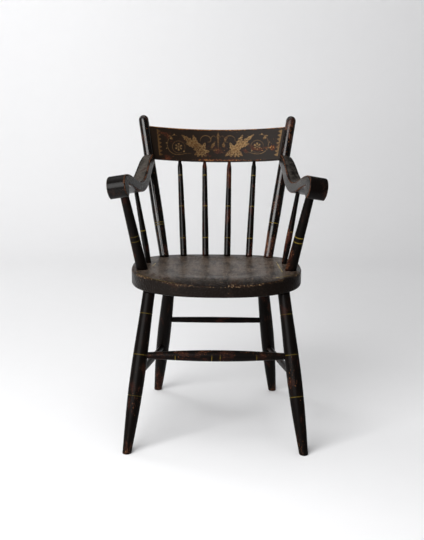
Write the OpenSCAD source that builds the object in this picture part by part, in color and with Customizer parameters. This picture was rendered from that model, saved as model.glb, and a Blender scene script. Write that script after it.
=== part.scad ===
// Rod-back armchair of painted wood: a plank seat on four splayed turned legs, a curved crest board
// between two turned posts, four back spindles, and scrolled arms on turned posts and spindles.
// Millimetres. The floor is z = 0, the front faces -Y, and the origin is under the middle of the chair.
// Left is -X, as the chair is seen from the front.

/* [Seat] */
// Height of the seat top above the floor
seat_h = 438; // [410:1:470]
// Width of the seat plank
seat_w = 463; // [445:1:500]
// Depth of the seat plank, front to back
seat_d = 368; // [355:1:400]
// Thickness of the seat plank
seat_t = 40; // [36:1:46]
// How far the rolled front edge falls below the seat top
seat_drop = 9; // [5:0.5:12]
// Length of the rolled front, back from the front edge
seat_roll_run = 72; // [60:1:90]
// Depth of the dished middle
seat_dish = 4; // [1:0.5:7]
// Radius of the dished middle
seat_dish_r = 134; // [110:1:138]
// Bevel round the underside
seat_bevel = 4; // [2:0.5:8]
// Share of the depth that lies behind the widest place
seat_mid_share = 0.46; // [0.42:0.01:0.52]
// Squareness of the back half of the outline, 2 for an ellipse
seat_back_power = 3; // [2.4:0.1:3.4]
// Squareness of the front half of the outline, 2 for an ellipse
seat_front_power = 2.4; // [2.2:0.1:2.8]

/* [Legs] */
// Diameter of a leg under the seat
leg_top_d = 32; // [29:0.5:35]
// Diameter of a leg at its swell
leg_swell_d = 39; // [36:0.5:42]
// Diameter of a leg at the floor
leg_foot_d = 23; // [20:0.5:28]
// Height of the swell, along the leg
leg_swell_h = 208; // [180:1:230]
// Diameter of the tenon in the seat
leg_tenon_d = 24; // [20:0.5:27]
// Length of the tenon in the seat
leg_tenon_l = 28; // [22:1:31]
// From the side edge of the seat to a front leg's socket
front_leg_inset_x = 54.5; // [50:0.5:64]
// From the front edge of the seat to a front leg's socket
front_leg_inset_y = 81; // [76:1:92]
// From the side edge of the seat to a rear leg's socket
rear_leg_inset_x = 101.5; // [90:0.5:112]
// From the back edge of the seat to a rear leg's socket
rear_leg_inset_y = 77; // [66:1:88]
// Sideways splay of a front foot, from its socket
front_splay_x = 51; // [40:1:60]
// Forward splay of a front foot, from its socket
front_splay_y = 141; // [110:1:150]
// Sideways splay of a rear foot, from its socket
rear_splay_x = 46; // [36:1:56]
// Backward splay of a rear foot, from its socket
rear_splay_y = 136; // [110:1:148]
// Height of the lower scribed ring, along the leg
leg_low_ring = 148; // [120:1:160]
// From the top of the leg down to the upper scribed ring
leg_high_ring = 62; // [40:1:90]
// Height of the scribed ring above the foot, along the leg
leg_foot_ring = 10; // [9:0.5:16]

/* [Stretchers] */
// Height of the front stretcher at the legs
front_stretcher_h = 237; // [220:1:260]
// Diameter of the front stretcher at its ends
front_stretcher_end_d = 17.5; // [14:0.5:19]
// Diameter of the front stretcher at its middle
front_stretcher_mid_d = 30; // [24:0.5:33]
// From the middle of the front stretcher to each outer ring
front_stretcher_ring = 106; // [80:1:125]
// Half the distance between its two middle rings
front_stretcher_ring_pair = 11; // [6:1:20]
// Height of the rear stretcher at the legs
rear_stretcher_h = 246; // [230:1:265]
// Diameter of the rear stretcher at its ends
rear_stretcher_end_d = 15; // [12:0.5:16]
// Diameter of the rear stretcher at its middle
rear_stretcher_mid_d = 17.5; // [14:0.5:20]
// Height of a side stretcher at the front leg
side_stretcher_front_h = 187; // [170:1:200]
// Height of a side stretcher at the rear leg
side_stretcher_rear_h = 154; // [140:1:170]
// Diameter of a side stretcher at its ends
side_stretcher_end_d = 14; // [11:0.5:15]
// Diameter of a side stretcher at its middle
side_stretcher_mid_d = 18; // [15:0.5:20]
// Past the axis of the leg to the end of a stretcher in its socket
stretcher_past_axis = 5; // [0:0.5:8]

/* [Back posts] */
// From the side edge of the seat to a post's socket
post_inset_x = 81.5; // [74:0.5:88]
// From the back edge of the seat to a post's socket
post_inset_y = 35; // [32:1:42]
// Rise of the posts above the seat, to the middle of the dome
post_rise = 382; // [370:1:410]
// Sideways lean of a post over its rise
post_lean_x = 65; // [55:1:75]
// Backward lean of a post over its rise
post_lean_y = 116; // [95:1:130]
// Diameter of a post at the seat
post_base_d = 27; // [24:0.5:28]
// Diameter of a post at its swell
post_swell_d = 30.5; // [28:0.5:33]
// Diameter of a post under its dome
post_top_d = 28.5; // [26:0.5:31]
// Height of the swell of a post, along the post
post_swell_h = 130; // [100:1:170]
// Height of the lower of the two scribed rings, along the post
post_ring_h = 92; // [70:1:120]
// Distance between the two rings
post_ring_gap = 7; // [5:0.5:12]
// Diameter of a post's tenon
post_tenon_d = 19; // [16:0.5:22]
// Length of a post's tenon
post_tenon_l = 28; // [22:1:31]

/* [Crest rail] */
// Height of the crest board, along its lean
crest_h = 96; // [85:1:104]
// Thickness of the crest board
crest_t = 14; // [12:0.5:16]
// Bow of the crest board behind the line of the posts
crest_bow = 45; // [25:1:60]
// From the middle of the posts' domes down to the top of the crest
crest_below_top = 18; // [14:1:30]
// Thickness of the crest's tenons
crest_tenon_t = 9; // [7:0.5:11]
// Shoulder above and below the crest's tenons
crest_tenon_shoulder = 13; // [8:0.5:18]
// Past the axis of a post to the end of the tenon
crest_past_axis = 2; // [-2:0.5:4]

/* [Back spindles] */
// Distance between the spindles at the seat
spindle_base_pitch = 63; // [50:1:66]
// Distance between the spindles at the crest
spindle_top_pitch = 73; // [56:1:78]
// From the back edge of the seat to the spindles' sockets
spindle_inset_y = 16; // [14:0.5:22]
// Diameter of a spindle at the seat
spindle_base_d = 19; // [16:0.5:20]
// Height at which a spindle starts to taper, along the spindle
spindle_taper_h = 65; // [40:1:90]
// Diameter of a spindle at its shoulder under the crest
spindle_shoulder_d = 14; // [12:0.5:16]
// Diameter of the neck that enters the crest
spindle_neck_d = 9; // [7:0.5:10]
// Length of the neck's taper below the crest
spindle_neck_l = 20; // [14:1:30]
// Shoulder where the neck's taper ends under the crest, on the radius
spindle_neck_step = 0.3; // [0.2:0.1:0.6]
// Diameter of a spindle's tenon in the seat
spindle_tenon_d = 12; // [10:0.5:13.5]
// Length of a spindle's tenons
spindle_tenon_l = 18; // [12:1:26]

/* [Arms] */
// How far the arm's top at the back post stands above the crest's lower edge
arm_over_crest = 13; // [8:0.5:16]
// From the post's axis to the arm's heel, either side of the hollow that fits the post
arm_heel = 9; // [8:0.5:11]
// Length of the arm, from the post's axis to the centre of the roll
arm_l = 332; // [315:1:350]
// Thickness of the arm
arm_t = 28; // [24:0.5:30]
// Width of the arm at the back post
arm_back_w = 28; // [24:0.5:30]
// Width of the arm at the roll
arm_front_w = 50; // [42:0.5:54]
// How far the arm sinks to its low point
arm_sink = 60; // [45:1:70]
// From the post's axis to the low point, along the arm
arm_low_l = 188; // [170:1:205]
// How far the roll's top lies below the arm's top at the post
arm_roll_sink = 25; // [15:1:40]
// Diameter of the roll
arm_roll_d = 60; // [58:0.5:64]
// Depth of the roll, from its front to where it tucks in behind
arm_roll_deep = 38; // [34:0.5:42]
// Outward turn of the arm in plan, in degrees
arm_splay = 11.5; // [9:0.5:13]
// Tilt of the arm to its outer side, in degrees
arm_cant = 10; // [6:0.5:12]
// Diameter of the tenon in the back post
arm_tenon_d = 11; // [9:0.5:13]
// Past the axis of the back post to the end of that tenon
arm_past_axis = 3.5; // [0:0.5:5]

/* [Arm posts and spindles] */
// From the side edge of the seat to an arm post's socket
arm_post_inset_x = 30.5; // [27:0.5:34]
// From the front edge of the seat to an arm post's socket
arm_post_inset_y = 159; // [148:1:172]
// From the centre of the roll back to the arm post, along the arm
arm_post_back = 22; // [18:1:30]
// Diameter of an arm post at the seat
arm_post_base_d = 30.5; // [27:0.5:32]
// Diameter of an arm post under the arm
arm_post_top_d = 21; // [18:0.5:22]
// Diameter of its tenons
arm_post_tenon_d = 14; // [12:0.5:16]
// Height of the lower of its two scribed rings, along the post
arm_post_ring_h = 85; // [60:1:100]
// Distance between its two rings
arm_post_ring_gap = 14; // [6:1:18]
// From the side edge of the seat to an arm spindle's socket
arm_spindle_inset_x = 42; // [38:0.5:48]
// From the front edge of the seat to an arm spindle's socket
arm_spindle_inset_y = 245; // [235:1:256]
// From the centre of the roll back to the arm spindle, along the arm
arm_spindle_back = 138; // [125:1:150]
// Diameter of an arm spindle at the seat
arm_spindle_base_d = 14.5; // [13:0.5:16]
// Diameter of an arm spindle at its swell
arm_spindle_swell_d = 17.5; // [16:0.5:20]
// Diameter of an arm spindle under the arm
arm_spindle_top_d = 11.5; // [9.5:0.5:12.5]
// Height of its swell, along the spindle
arm_spindle_swell_h = 52; // [40:1:70]
// Diameter of its tenons
arm_spindle_tenon_d = 8.5; // [7:0.5:10]
// Length of the tenons of an arm's post and spindle in the seat
arm_tenon_l = 26; // [20:1:30]
// Past the middle of the arm's thickness to the end of their tenons in the arm
arm_tenon_rise = 7; // [4:0.5:8]

/* [Fits] */
// Clearance of a tenon in its socket, on the radius
fit = 0.1; // [0.05:0.05:0.25]
// Free depth at the bottom of a socket
socket_gap = 1; // [0.5:0.5:2]
// Depth of a scribed ring
ring_depth = 0.7; // [0.3:0.1:1]

/* [Hidden] */

$fn = 64;
// Facets of the large round surfaces of the seat's front and of the crest
wide_fn = 360;
// Steps of a turned curve, of an arm's side and plan outlines and of a quarter of the seat's outline
turning_steps = 10;
side_steps = 28;
plan_steps = 14;
seat_steps = 15;
// How far a cutting solid runs past what it cuts
past = 60;
// Half the width of a block that trims a piece at a height
trim_half = 500;
// How far a leaned piece runs past the height at which it is trimmed
trim_over = 20;
// How far inside its own piece a tenon starts
tenon_root = 15;
// Turn of a round piece about its own axis, which keeps its seam out of the plane of its lean
seam_turn = 45;
// Share of a stretcher's half length that stays straight, in and beside the leg
rung_straight = 0.12;
spindle_count = 4;

post_line = [post_lean_x, post_lean_y, post_rise];
post_l = norm(post_line);
// The back leans by this angle, and its slanted height runs from the seat to the domes
back_lean = atan(post_lean_y / post_rise);
back_l = post_rise / cos(back_lean);
crest_top = back_l - crest_below_top;
crest_bottom = crest_top - crest_h;

// The origin lies midway between the front of the front feet and the back of the crest
reach_forward = seat_d - front_leg_inset_y + front_splay_y + leg_foot_d / 2;
reach_back = crest_top * sin(back_lean) + (crest_bow + crest_t / 2) * cos(back_lean) - post_inset_y;
seat_back_y = (reach_forward - reach_back) / 2;
seat_front_y = seat_back_y - seat_d;
seat_under = seat_h - seat_t;
seat_mid_y = seat_back_y - seat_d * seat_mid_share;
seat_roll_r = (pow(seat_roll_run, 2) + pow(seat_drop, 2)) / (2 * seat_drop);

front_socket = [seat_w / 2 - front_leg_inset_x, seat_front_y + front_leg_inset_y, seat_under];
rear_socket = [seat_w / 2 - rear_leg_inset_x, seat_back_y - rear_leg_inset_y, seat_under];
front_foot = [front_socket.x + front_splay_x, front_socket.y - front_splay_y, 0];
rear_foot = [rear_socket.x + rear_splay_x, rear_socket.y + rear_splay_y, 0];

post_base = [seat_w / 2 - post_inset_x, seat_back_y - post_inset_y, seat_h];
post_top = post_base + post_line;
crest_half = post_base.x + post_lean_x * (crest_top - crest_h / 2) / back_l;
crest_r = (pow(crest_half, 2) + pow(crest_bow, 2)) / (2 * crest_bow);

arm_roll_r = arm_roll_d / 2;
arm_rise = crest_bottom * cos(back_lean) + arm_over_crest;
arm_root_share = (arm_rise - arm_t / 2) / post_rise;
arm_root = [post_base.x + post_lean_x * arm_root_share,
            post_base.y + post_lean_y * arm_root_share,
            seat_h + arm_rise];
arm_reach = arm_l + arm_roll_r;

arm_post_base = [seat_w / 2 - arm_post_inset_x, seat_front_y + arm_post_inset_y, seat_h];
arm_spindle_base = [seat_w / 2 - arm_spindle_inset_x, seat_front_y + arm_spindle_inset_y, seat_h];
arm_post_top = arm_middle(arm_l - arm_post_back);
arm_spindle_top = arm_middle(arm_l - arm_spindle_back);

finish = "#2a241f";

// A share of the way from one value to another, eased at both ends
function eased(a, b, share) = a + (b - a) * (1 - cos(180 * min(1, max(0, share)))) / 2;

// Point of a line at a height
function at_height(a, b, z) = a + (b - a) * (z - a.z) / (b.z - a.z);

// Point on the outline of the seat, drawn in by a margin
function seat_edge(angle, margin) =
    let (c = cos(angle), s = sin(angle),
         power = s > 0 ? seat_back_power : seat_front_power,
         deep = s > 0 ? seat_back_y - seat_mid_y : seat_mid_y - seat_front_y)
    [sign(c) * pow(abs(c), 2 / power) * (seat_w / 2 - margin),
     seat_mid_y + sign(s) * pow(abs(s), 2 / power) * (deep - margin)];

// Radius of a leg at a distance along it, from the floor
function leg_r(s, length) = (s < leg_swell_h)
    ? (leg_foot_d + (leg_swell_d - leg_foot_d) * sin(90 * s / leg_swell_h)) / 2
    : eased(leg_swell_d, leg_top_d, (s - leg_swell_h) / (length - leg_swell_h)) / 2;

// Radius of a back post at a distance along it, from the seat
function post_r(s) = (s < post_swell_h)
    ? eased(post_base_d, post_swell_d, s / post_swell_h) / 2
    : eased(post_swell_d, post_top_d, (s - post_swell_h) / (post_l - post_swell_h)) / 2;

// Radius of an arm spindle at a distance along it, from the seat
function arm_spindle_r(s, length) = (s < arm_spindle_swell_h)
    ? eased(arm_spindle_base_d, arm_spindle_swell_d, s / arm_spindle_swell_h) / 2
    : eased(arm_spindle_swell_d, arm_spindle_top_d,
            (s - arm_spindle_swell_h) / (length - arm_spindle_swell_h)) / 2;

// Height of the arm's top against its root, at a distance along the arm
function arm_top(u) = (u < arm_low_l)
    ? eased(0, -arm_sink, u / arm_low_l)
    : eased(-arm_sink, -arm_roll_sink, (u - arm_low_l) / (arm_l - arm_low_l));

// Slope of the arm's top, in degrees
function arm_slope(u) = atan((arm_top(u + 0.5) - arm_top(u - 0.5)));

// Half the width of the arm at a distance along it
function arm_half(u) =
    (arm_back_w + (arm_front_w - arm_back_w) * sin(90 * u / arm_reach)) / 2;

// A point of the right arm's own frame, given in the chair's: along, outward and up
function arm_point(u, v, w) =
    let (turn = arm_splay - 90, out = v * cos(arm_cant) + w * sin(arm_cant))
    arm_root + [u * cos(turn) - out * sin(turn),
                u * sin(turn) + out * cos(turn),
                -v * sin(arm_cant) + w * cos(arm_cant)];

// The middle of the arm's thickness at a distance along it
function arm_middle(u) = arm_point(u, 0, arm_top(u) - arm_t / (2 * cos(arm_slope(u))));

// A point of the leaned back, given in the chair's frame: across, behind the posts and up the lean
function back_point(x, y, z) = [x, post_base.y + y * cos(back_lean) + z * sin(back_lean),
                                seat_h - y * sin(back_lean) + z * cos(back_lean)];

// How far the crest's middle surface lies behind the posts
function crest_y(x) = crest_bow - crest_r + sqrt(pow(crest_r, 2) - pow(x, 2));

// Mirrors a right-hand piece to the left
module on_side(left) {
    mirror([left ? 1 : 0, 0, 0])
        children();
}

// Stands a piece on a point, with its axis towards another point
module between(a, b) {
    d = b - a;
    translate(a)
        rotate([0, acos(d.z / norm(d)), atan2(d.y, d.x)])
            rotate([0, 0, seam_turn])
                children();
}

// A turned solid from a list of [distance, radius]
module turned(points) {
    last = len(points) - 1;
    rotate_extrude()
        polygon(concat([[0, points[0][0]]],
                       [for (p = points) [p[1], p[0]]],
                       [[0, points[last][0]]]));
}

// Scribed ring round a turned piece of radius r, as a V with sides at 45 degrees
module ring_cut(s, r) {
    reach = 2 * ring_depth;
    translate([0, 0, s])
        rotate_extrude()
            polygon([[r - ring_depth, 0],
                     [r - ring_depth + reach, -reach],
                     [r - ring_depth + reach, reach]]);
}

// Everything above or below a height
module above(z) {
    translate([-trim_half, -trim_half, z])
        cube(2 * trim_half);
}

module below(z) {
    translate([-trim_half, -trim_half, z - 2 * trim_half])
        cube(2 * trim_half);
}

// Tenon, or with a clearance its socket, that runs from a point along a line
module tenon(a, b, d, length, clear = 0, root = tenon_root) {
    between(a, b)
        translate([0, 0, -root])
            cylinder(d = d + 2 * clear, h = root + length + (clear > 0 ? socket_gap : 0));
}

// Tenon at the end of a piece, on along its line
module end_tenon(start, end, d, length, clear = 0, root = tenon_root) {
    tenon(end, end + (end - start), d, length, clear, root);
}

// Outline of the seat plank, drawn in by a margin
module seat_outline(margin = 0) {
    polygon([for (i = [0 : 4 * seat_steps - 1]) seat_edge(90 * i / seat_steps, margin)]);
}

// Everything that the rolled front takes off
module seat_front_cut() {
    start = seat_front_y + seat_roll_run;
    difference() {
        translate([-seat_w, start - seat_roll_run - past, seat_h - 2 * seat_drop])
            cube([2 * seat_w, seat_roll_run + past, 2 * seat_drop + past]);
        translate([-seat_w - past, start, seat_h - seat_roll_r])
            rotate([0, 90, 0])
                cylinder(r = seat_roll_r, h = 2 * (seat_w + past), $fn = wide_fn);
    }
}

// Shallow dish in the seat, deepest in the middle
module seat_dish_cut() {
    translate([0, seat_mid_y, seat_h])
        rotate_extrude()
            polygon(concat([for (i = [0 : turning_steps])
                               [seat_dish_r * i / turning_steps,
                                -seat_dish + eased(0, seat_dish, i / turning_steps)]],
                           [[seat_dish_r, past], [0, past]]));
}

// Sockets in the top of the seat for the pieces of one side
module seat_side_sockets() {
    end_tenon(post_top, post_base, post_tenon_d, post_tenon_l, fit);
    end_tenon(arm_post_top, arm_post_base, arm_post_tenon_d, arm_tenon_l, fit);
    end_tenon(arm_spindle_top, arm_spindle_base, arm_spindle_tenon_d, arm_tenon_l, fit);
    end_tenon(front_foot, front_socket, leg_tenon_d, leg_tenon_l, fit);
    end_tenon(rear_foot, rear_socket, leg_tenon_d, leg_tenon_l, fit);
}

module seat() {
    half_d = seat_d / 2;
    color(finish)
    difference() {
        union() {
            translate([0, 0, seat_under + seat_bevel])
                linear_extrude(height = seat_t - seat_bevel)
                    seat_outline();
            translate([0, seat_mid_y, seat_under + seat_bevel])
                mirror([0, 0, 1])
                    linear_extrude(height = seat_bevel, slices = 1,
                                   scale = [1 - 2 * seat_bevel / seat_w, 1 - seat_bevel / half_d])
                        translate([0, -seat_mid_y])
                            seat_outline();
        }
        seat_front_cut();
        seat_dish_cut();
        for (left = [false, true])
            on_side(left)
                seat_side_sockets();
        for (i = [1 : spindle_count])
            end_tenon(spindle_head(i), spindle_foot(i), spindle_tenon_d, spindle_tenon_l, fit);
    }
}

// A leg, with its foot cut flat on the floor and its tenon in the seat
module leg(foot, socket) {
    length = norm(socket - foot);
    color(finish)
    difference() {
        union() {
            difference() {
                between(foot, socket)
                    difference() {
                        turned(concat(
                            [[-trim_over, leg_foot_d / 2]],
                            [for (i = [0 : 2 * turning_steps])
                                let (s = length * i / (2 * turning_steps)) [s, leg_r(s, length)]],
                            [[length + trim_over, leg_top_d / 2]]));
                        for (s = [leg_foot_ring, leg_low_ring, length - leg_high_ring])
                            ring_cut(s, leg_r(s, length));
                    }
                above(seat_under);
                below(0);
            }
            end_tenon(foot, socket, leg_tenon_d, leg_tenon_l);
        }
        children();
    }
}

// Stretcher ends, inside their legs
function rung_end(foot, socket, z, other) =
    let (p = at_height(foot, socket, z))
    p + stretcher_past_axis * (p - other) / norm(p - other);

front_rung_at = at_height(front_foot, front_socket, front_stretcher_h);
rear_rung_at = at_height(rear_foot, rear_socket, rear_stretcher_h);
side_rung_front_at = at_height(front_foot, front_socket, side_stretcher_front_h);
side_rung_rear_at = at_height(rear_foot, rear_socket, side_stretcher_rear_h);

// Straight-ended swelling rung between two points inside the legs
module rung(a, b, end_d, mid_d, clear = 0) {
    length = norm(b - a);
    grow = clear > 0 ? socket_gap : 0;
    between(a, b)
        turned([for (i = [0 : 2 * turning_steps])
                   let (share = i / (2 * turning_steps), s = share * length)
                   [s + (i == 0 ? -grow : i == 2 * turning_steps ? grow : 0),
                    rung_r(share, end_d, mid_d) + clear]]);
}

// Radius of a rung at a share of its length: straight in the legs, full at the middle
function rung_r(share, end_d, mid_d) =
    let (inward = 1 - 2 * abs(share - 0.5),
         x = max(0, (inward - rung_straight) / (1 - rung_straight)))
    (end_d + (mid_d - end_d) * sin(90 * x)) / 2;

// Rung from the left leg of a pair to the right one
module cross_rung(at, end_d, mid_d, clear = 0) {
    end = at + [stretcher_past_axis, 0, 0];
    rung([-end.x, end.y, end.z], end, end_d, mid_d, clear);
}

module front_rung(clear = 0) {
    cross_rung(front_rung_at, front_stretcher_end_d, front_stretcher_mid_d, clear);
}

module rear_rung(clear = 0) {
    cross_rung(rear_rung_at, rear_stretcher_end_d, rear_stretcher_mid_d, clear);
}

module side_rung(clear = 0) {
    rung(rung_end(front_foot, front_socket, side_stretcher_front_h, side_rung_rear_at),
         rung_end(rear_foot, rear_socket, side_stretcher_rear_h, side_rung_front_at),
         side_stretcher_end_d, side_stretcher_mid_d, clear);
}

module leg_front(left) {
    on_side(left)
        leg(front_foot, front_socket) {
            front_rung(fit);
            side_rung(fit);
        }
}

module leg_rear(left) {
    on_side(left)
        leg(rear_foot, rear_socket) {
            rear_rung(fit);
            side_rung(fit);
        }
}

module stretcher_front() {
    length = 2 * (front_rung_at.x + stretcher_past_axis);
    color(finish)
    difference() {
        front_rung();
        for (x = [-front_stretcher_ring, -front_stretcher_ring_pair,
                  front_stretcher_ring_pair, front_stretcher_ring])
            translate([x, front_rung_at.y, front_rung_at.z])
                rotate([0, 90, 0])
                    ring_cut(0, rung_r(0.5 + x / length, front_stretcher_end_d, front_stretcher_mid_d));
    }
}

module stretcher_rear() {
    color(finish)
        rear_rung();
}

module stretcher_side(left) {
    color(finish)
        on_side(left)
            side_rung();
}

// A back post without its tenon and sockets
module post_body() {
    difference() {
        between(post_base, post_top)
            difference() {
                union() {
                    turned(concat(
                        [[-trim_over, post_base_d / 2]],
                        [for (i = [0 : 2 * turning_steps])
                            let (s = post_l * i / (2 * turning_steps)) [s, post_r(s)]]));
                    translate([0, 0, post_l])
                        sphere(r = post_r(post_l));
                }
                for (s = [post_ring_h, post_ring_h + post_ring_gap])
                    ring_cut(s, post_r(s));
            }
        below(seat_h);
    }
}

// The bowed board between two heights of the lean, as thick as asked
module crest_board(thick, low, high) {
    translate([0, post_base.y, seat_h])
        rotate([-back_lean, 0, 0])
            translate([0, crest_bow - crest_r, low])
                difference() {
                    cylinder(r = crest_r + thick / 2, h = high - low, $fn = wide_fn);
                    translate([0, 0, -past])
                        cylinder(r = crest_r - thick / 2, h = high - low + 2 * past, $fn = wide_fn);
                }
}

// Leaned wedge that stops the board at a distance outside the posts' axes
module crest_span(outside) {
    low_x = post_base.x + outside;
    high_x = post_base.x + post_lean_x + outside;
    translate([0, post_base.y, seat_h])
        rotate([90 - back_lean, 0, 0])
            translate([0, 0, -crest_bow - past])
                linear_extrude(height = crest_bow + 2 * past)
                    polygon([[-low_x, 0], [low_x, 0], [high_x, back_l], [-high_x, back_l]]);
}

module crest_tenons(clear = 0) {
    grow = clear > 0 ? socket_gap : 0;
    intersection() {
        crest_board(crest_tenon_t + 2 * clear,
                    crest_bottom + crest_tenon_shoulder - clear,
                    crest_top - crest_tenon_shoulder + clear);
        crest_span(crest_past_axis + grow);
    }
}

module crest_rail() {
    color(finish)
    difference() {
        union() {
            difference() {
                intersection() {
                    crest_board(crest_t, crest_bottom, crest_top);
                    crest_span(0);
                }
                for (left = [false, true])
                    on_side(left)
                        post_body();
            }
            crest_tenons();
        }
        for (i = [1 : spindle_count])
            spindle_neck(i, fit);
    }
}

module back_post(left) {
    color(finish)
    on_side(left)
        difference() {
            union() {
                post_body();
                end_tenon(post_top, post_base, post_tenon_d, post_tenon_l);
            }
            crest_tenons(fit);
            arm_back_tenon(fit);
        }
}

// Ends of a back spindle: on the seat, in a row that curves to the posts, and under the crest
function spindle_place(i) = i - (spindle_count + 1) / 2;
function spindle_foot(i) =
    let (x = spindle_place(i) * spindle_base_pitch, share = pow(x / post_base.x, 2))
    [x, seat_back_y - spindle_inset_y - (post_inset_y - spindle_inset_y) * share, seat_h];
function spindle_head(i) =
    let (x = spindle_place(i) * spindle_top_pitch) back_point(x, crest_y(x), crest_bottom);

// Neck of a back spindle, on into the crest
module spindle_neck(i, clear = 0) {
    end_tenon(spindle_foot(i), spindle_head(i), spindle_neck_d, spindle_tenon_l, clear,
              spindle_neck_l / 2);
}

module back_spindle(i) {
    foot = spindle_foot(i);
    head = spindle_head(i);
    length = norm(head - foot);
    color(finish) {
        difference() {
            between(foot, head)
                turned([[-trim_over, spindle_base_d / 2],
                        [spindle_taper_h, spindle_base_d / 2],
                        [length - spindle_neck_l, spindle_shoulder_d / 2],
                        [length - socket_gap, spindle_neck_d / 2 + spindle_neck_step]]);
            below(seat_h);
        }
        end_tenon(head, foot, spindle_tenon_d, spindle_tenon_l);
        spindle_neck(i);
    }
}

// Side outline of an arm: a strip of even thickness that rolls over its front end
module arm_profile() {
    steps = [for (i = [0 : side_steps]) arm_heel + (arm_l - arm_heel) * i / side_steps];
    polygon(concat(
        [for (u = steps) [u, arm_top(u)]],
        [for (i = [side_steps : -1 : 0])
            let (u = steps[i], turn = arm_slope(u))
            [u + arm_t * sin(turn), arm_top(u) - arm_t * cos(turn)]]));
    // The roll is round at its front and tucks in to a narrow lower end behind
    translate([arm_l, -arm_roll_sink - arm_roll_r])
        intersection() {
            circle(r = arm_roll_r);
            translate([arm_roll_d - arm_roll_deep, 0])
                circle(r = arm_roll_r);
        }
    translate([arm_l, -arm_roll_sink - arm_t])
        intersection() {
            translate([0, arm_t - arm_roll_r])
                circle(r = arm_roll_r);
            square([arm_roll_r, arm_t]);
        }
}

// Plan outline of an arm: narrow at the post, wide at the roll
module arm_plan() {
    steps = [for (i = [0 : plan_steps]) arm_reach * i / plan_steps];
    polygon(concat([for (u = steps) [u, arm_half(u)]],
                   [for (i = [plan_steps : -1 : 0]) [steps[i], -arm_half(steps[i])]]));
}

// Places a piece drawn in the right arm's own frame
module in_arm() {
    translate(arm_root)
        rotate([0, 0, arm_splay - 90])
            rotate([-arm_cant, 0, 0])
                children();
}

// An arm before its ends and sockets are cut
module arm_blank() {
    in_arm()
        intersection() {
            translate([0, arm_front_w, 0])
                rotate([90, 0, 0])
                    linear_extrude(height = 2 * arm_front_w)
                        arm_profile();
            translate([0, 0, -arm_sink - arm_roll_d])
                linear_extrude(height = arm_sink + 2 * arm_roll_d)
                    arm_plan();
        }
}

// Tenon at the top of an arm's post or spindle, on into the arm from below it
module head_tenon(base, top, d, clear = 0) {
    end_tenon(base, top, d, arm_tenon_rise, clear, arm_t);
}

// Round tenon from the arm's back end into the post
module arm_back_tenon(clear = 0) {
    over = arm_past_axis + (clear > 0 ? socket_gap : 0);
    in_arm()
        translate([-over, 0, -arm_t / 2])
            rotate([0, 90, 0])
                cylinder(d = arm_tenon_d + 2 * clear, h = over + post_top_d);
}

module arm(left) {
    color(finish)
    on_side(left) {
        difference() {
            arm_blank();
            post_body();
            head_tenon(arm_post_base, arm_post_top, arm_post_tenon_d, fit);
            head_tenon(arm_spindle_base, arm_spindle_top, arm_spindle_tenon_d, fit);
        }
        arm_back_tenon();
    }
}

module arm_post(left) {
    length = norm(arm_post_top - arm_post_base);
    color(finish)
    on_side(left) {
        difference() {
            between(arm_post_base, arm_post_top)
                difference() {
                    turned([[-trim_over, arm_post_base_d / 2],
                            [0, arm_post_base_d / 2],
                            [length, arm_post_top_d / 2]]);
                    for (s = [arm_post_ring_h, arm_post_ring_h + arm_post_ring_gap])
                        ring_cut(s, (arm_post_base_d
                                     + (arm_post_top_d - arm_post_base_d) * s / length) / 2);
                }
            below(seat_h);
            arm_blank();
        }
        end_tenon(arm_post_top, arm_post_base, arm_post_tenon_d, arm_tenon_l);
        head_tenon(arm_post_base, arm_post_top, arm_post_tenon_d);
    }
}

module arm_spindle(left) {
    length = norm(arm_spindle_top - arm_spindle_base);
    color(finish)
    on_side(left) {
        difference() {
            between(arm_spindle_base, arm_spindle_top)
                turned(concat([[-trim_over, arm_spindle_base_d / 2]],
                              [for (i = [0 : turning_steps])
                                  let (s = length * i / turning_steps)
                                  [s, arm_spindle_r(s, length)]]));
            below(seat_h);
            arm_blank();
        }
        end_tenon(arm_spindle_top, arm_spindle_base, arm_spindle_tenon_d, arm_tenon_l);
        head_tenon(arm_spindle_base, arm_spindle_top, arm_spindle_tenon_d);
    }
}

seat();
leg_front(true);  // leg_front_left
leg_front(false);  // leg_front_right
leg_rear(true);  // leg_rear_left
leg_rear(false);  // leg_rear_right
stretcher_front();
stretcher_rear();
stretcher_side(true);  // stretcher_left
stretcher_side(false);  // stretcher_right
back_post(true);  // back_post_left
back_post(false);  // back_post_right
crest_rail();
back_spindle(1);  // back_spindle_1
back_spindle(2);  // back_spindle_2
back_spindle(3);  // back_spindle_3
back_spindle(4);  // back_spindle_4
arm(true);  // arm_left
arm(false);  // arm_right
arm_post(true);  // arm_post_left
arm_post(false);  // arm_post_right
arm_spindle(true);  // arm_spindle_left
arm_spindle(false);  // arm_spindle_right
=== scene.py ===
"""Looks of a painted rod-back armchair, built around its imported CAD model.

The chair is American fancy-chair work: turned legs, posts and rods, a sawn plank seat, sawn arms
that roll over at the front and a bowed crest board, all in old near-black paint with yellow
striping, and with an ornament in bronze powder on the crest.

Sizes are in millimetres in the CAD model's frame, and turn into metres where a mesh is made. The
floor is z = 0, the front faces -Y, and the left of the photograph is -X.
"""

import logging
import math
from collections.abc import Callable, Sequence
from dataclasses import dataclass, field, replace
from enum import Enum
from typing import ClassVar

import bmesh
import bpy
import numpy as np
from mathutils import Matrix, Vector

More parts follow.
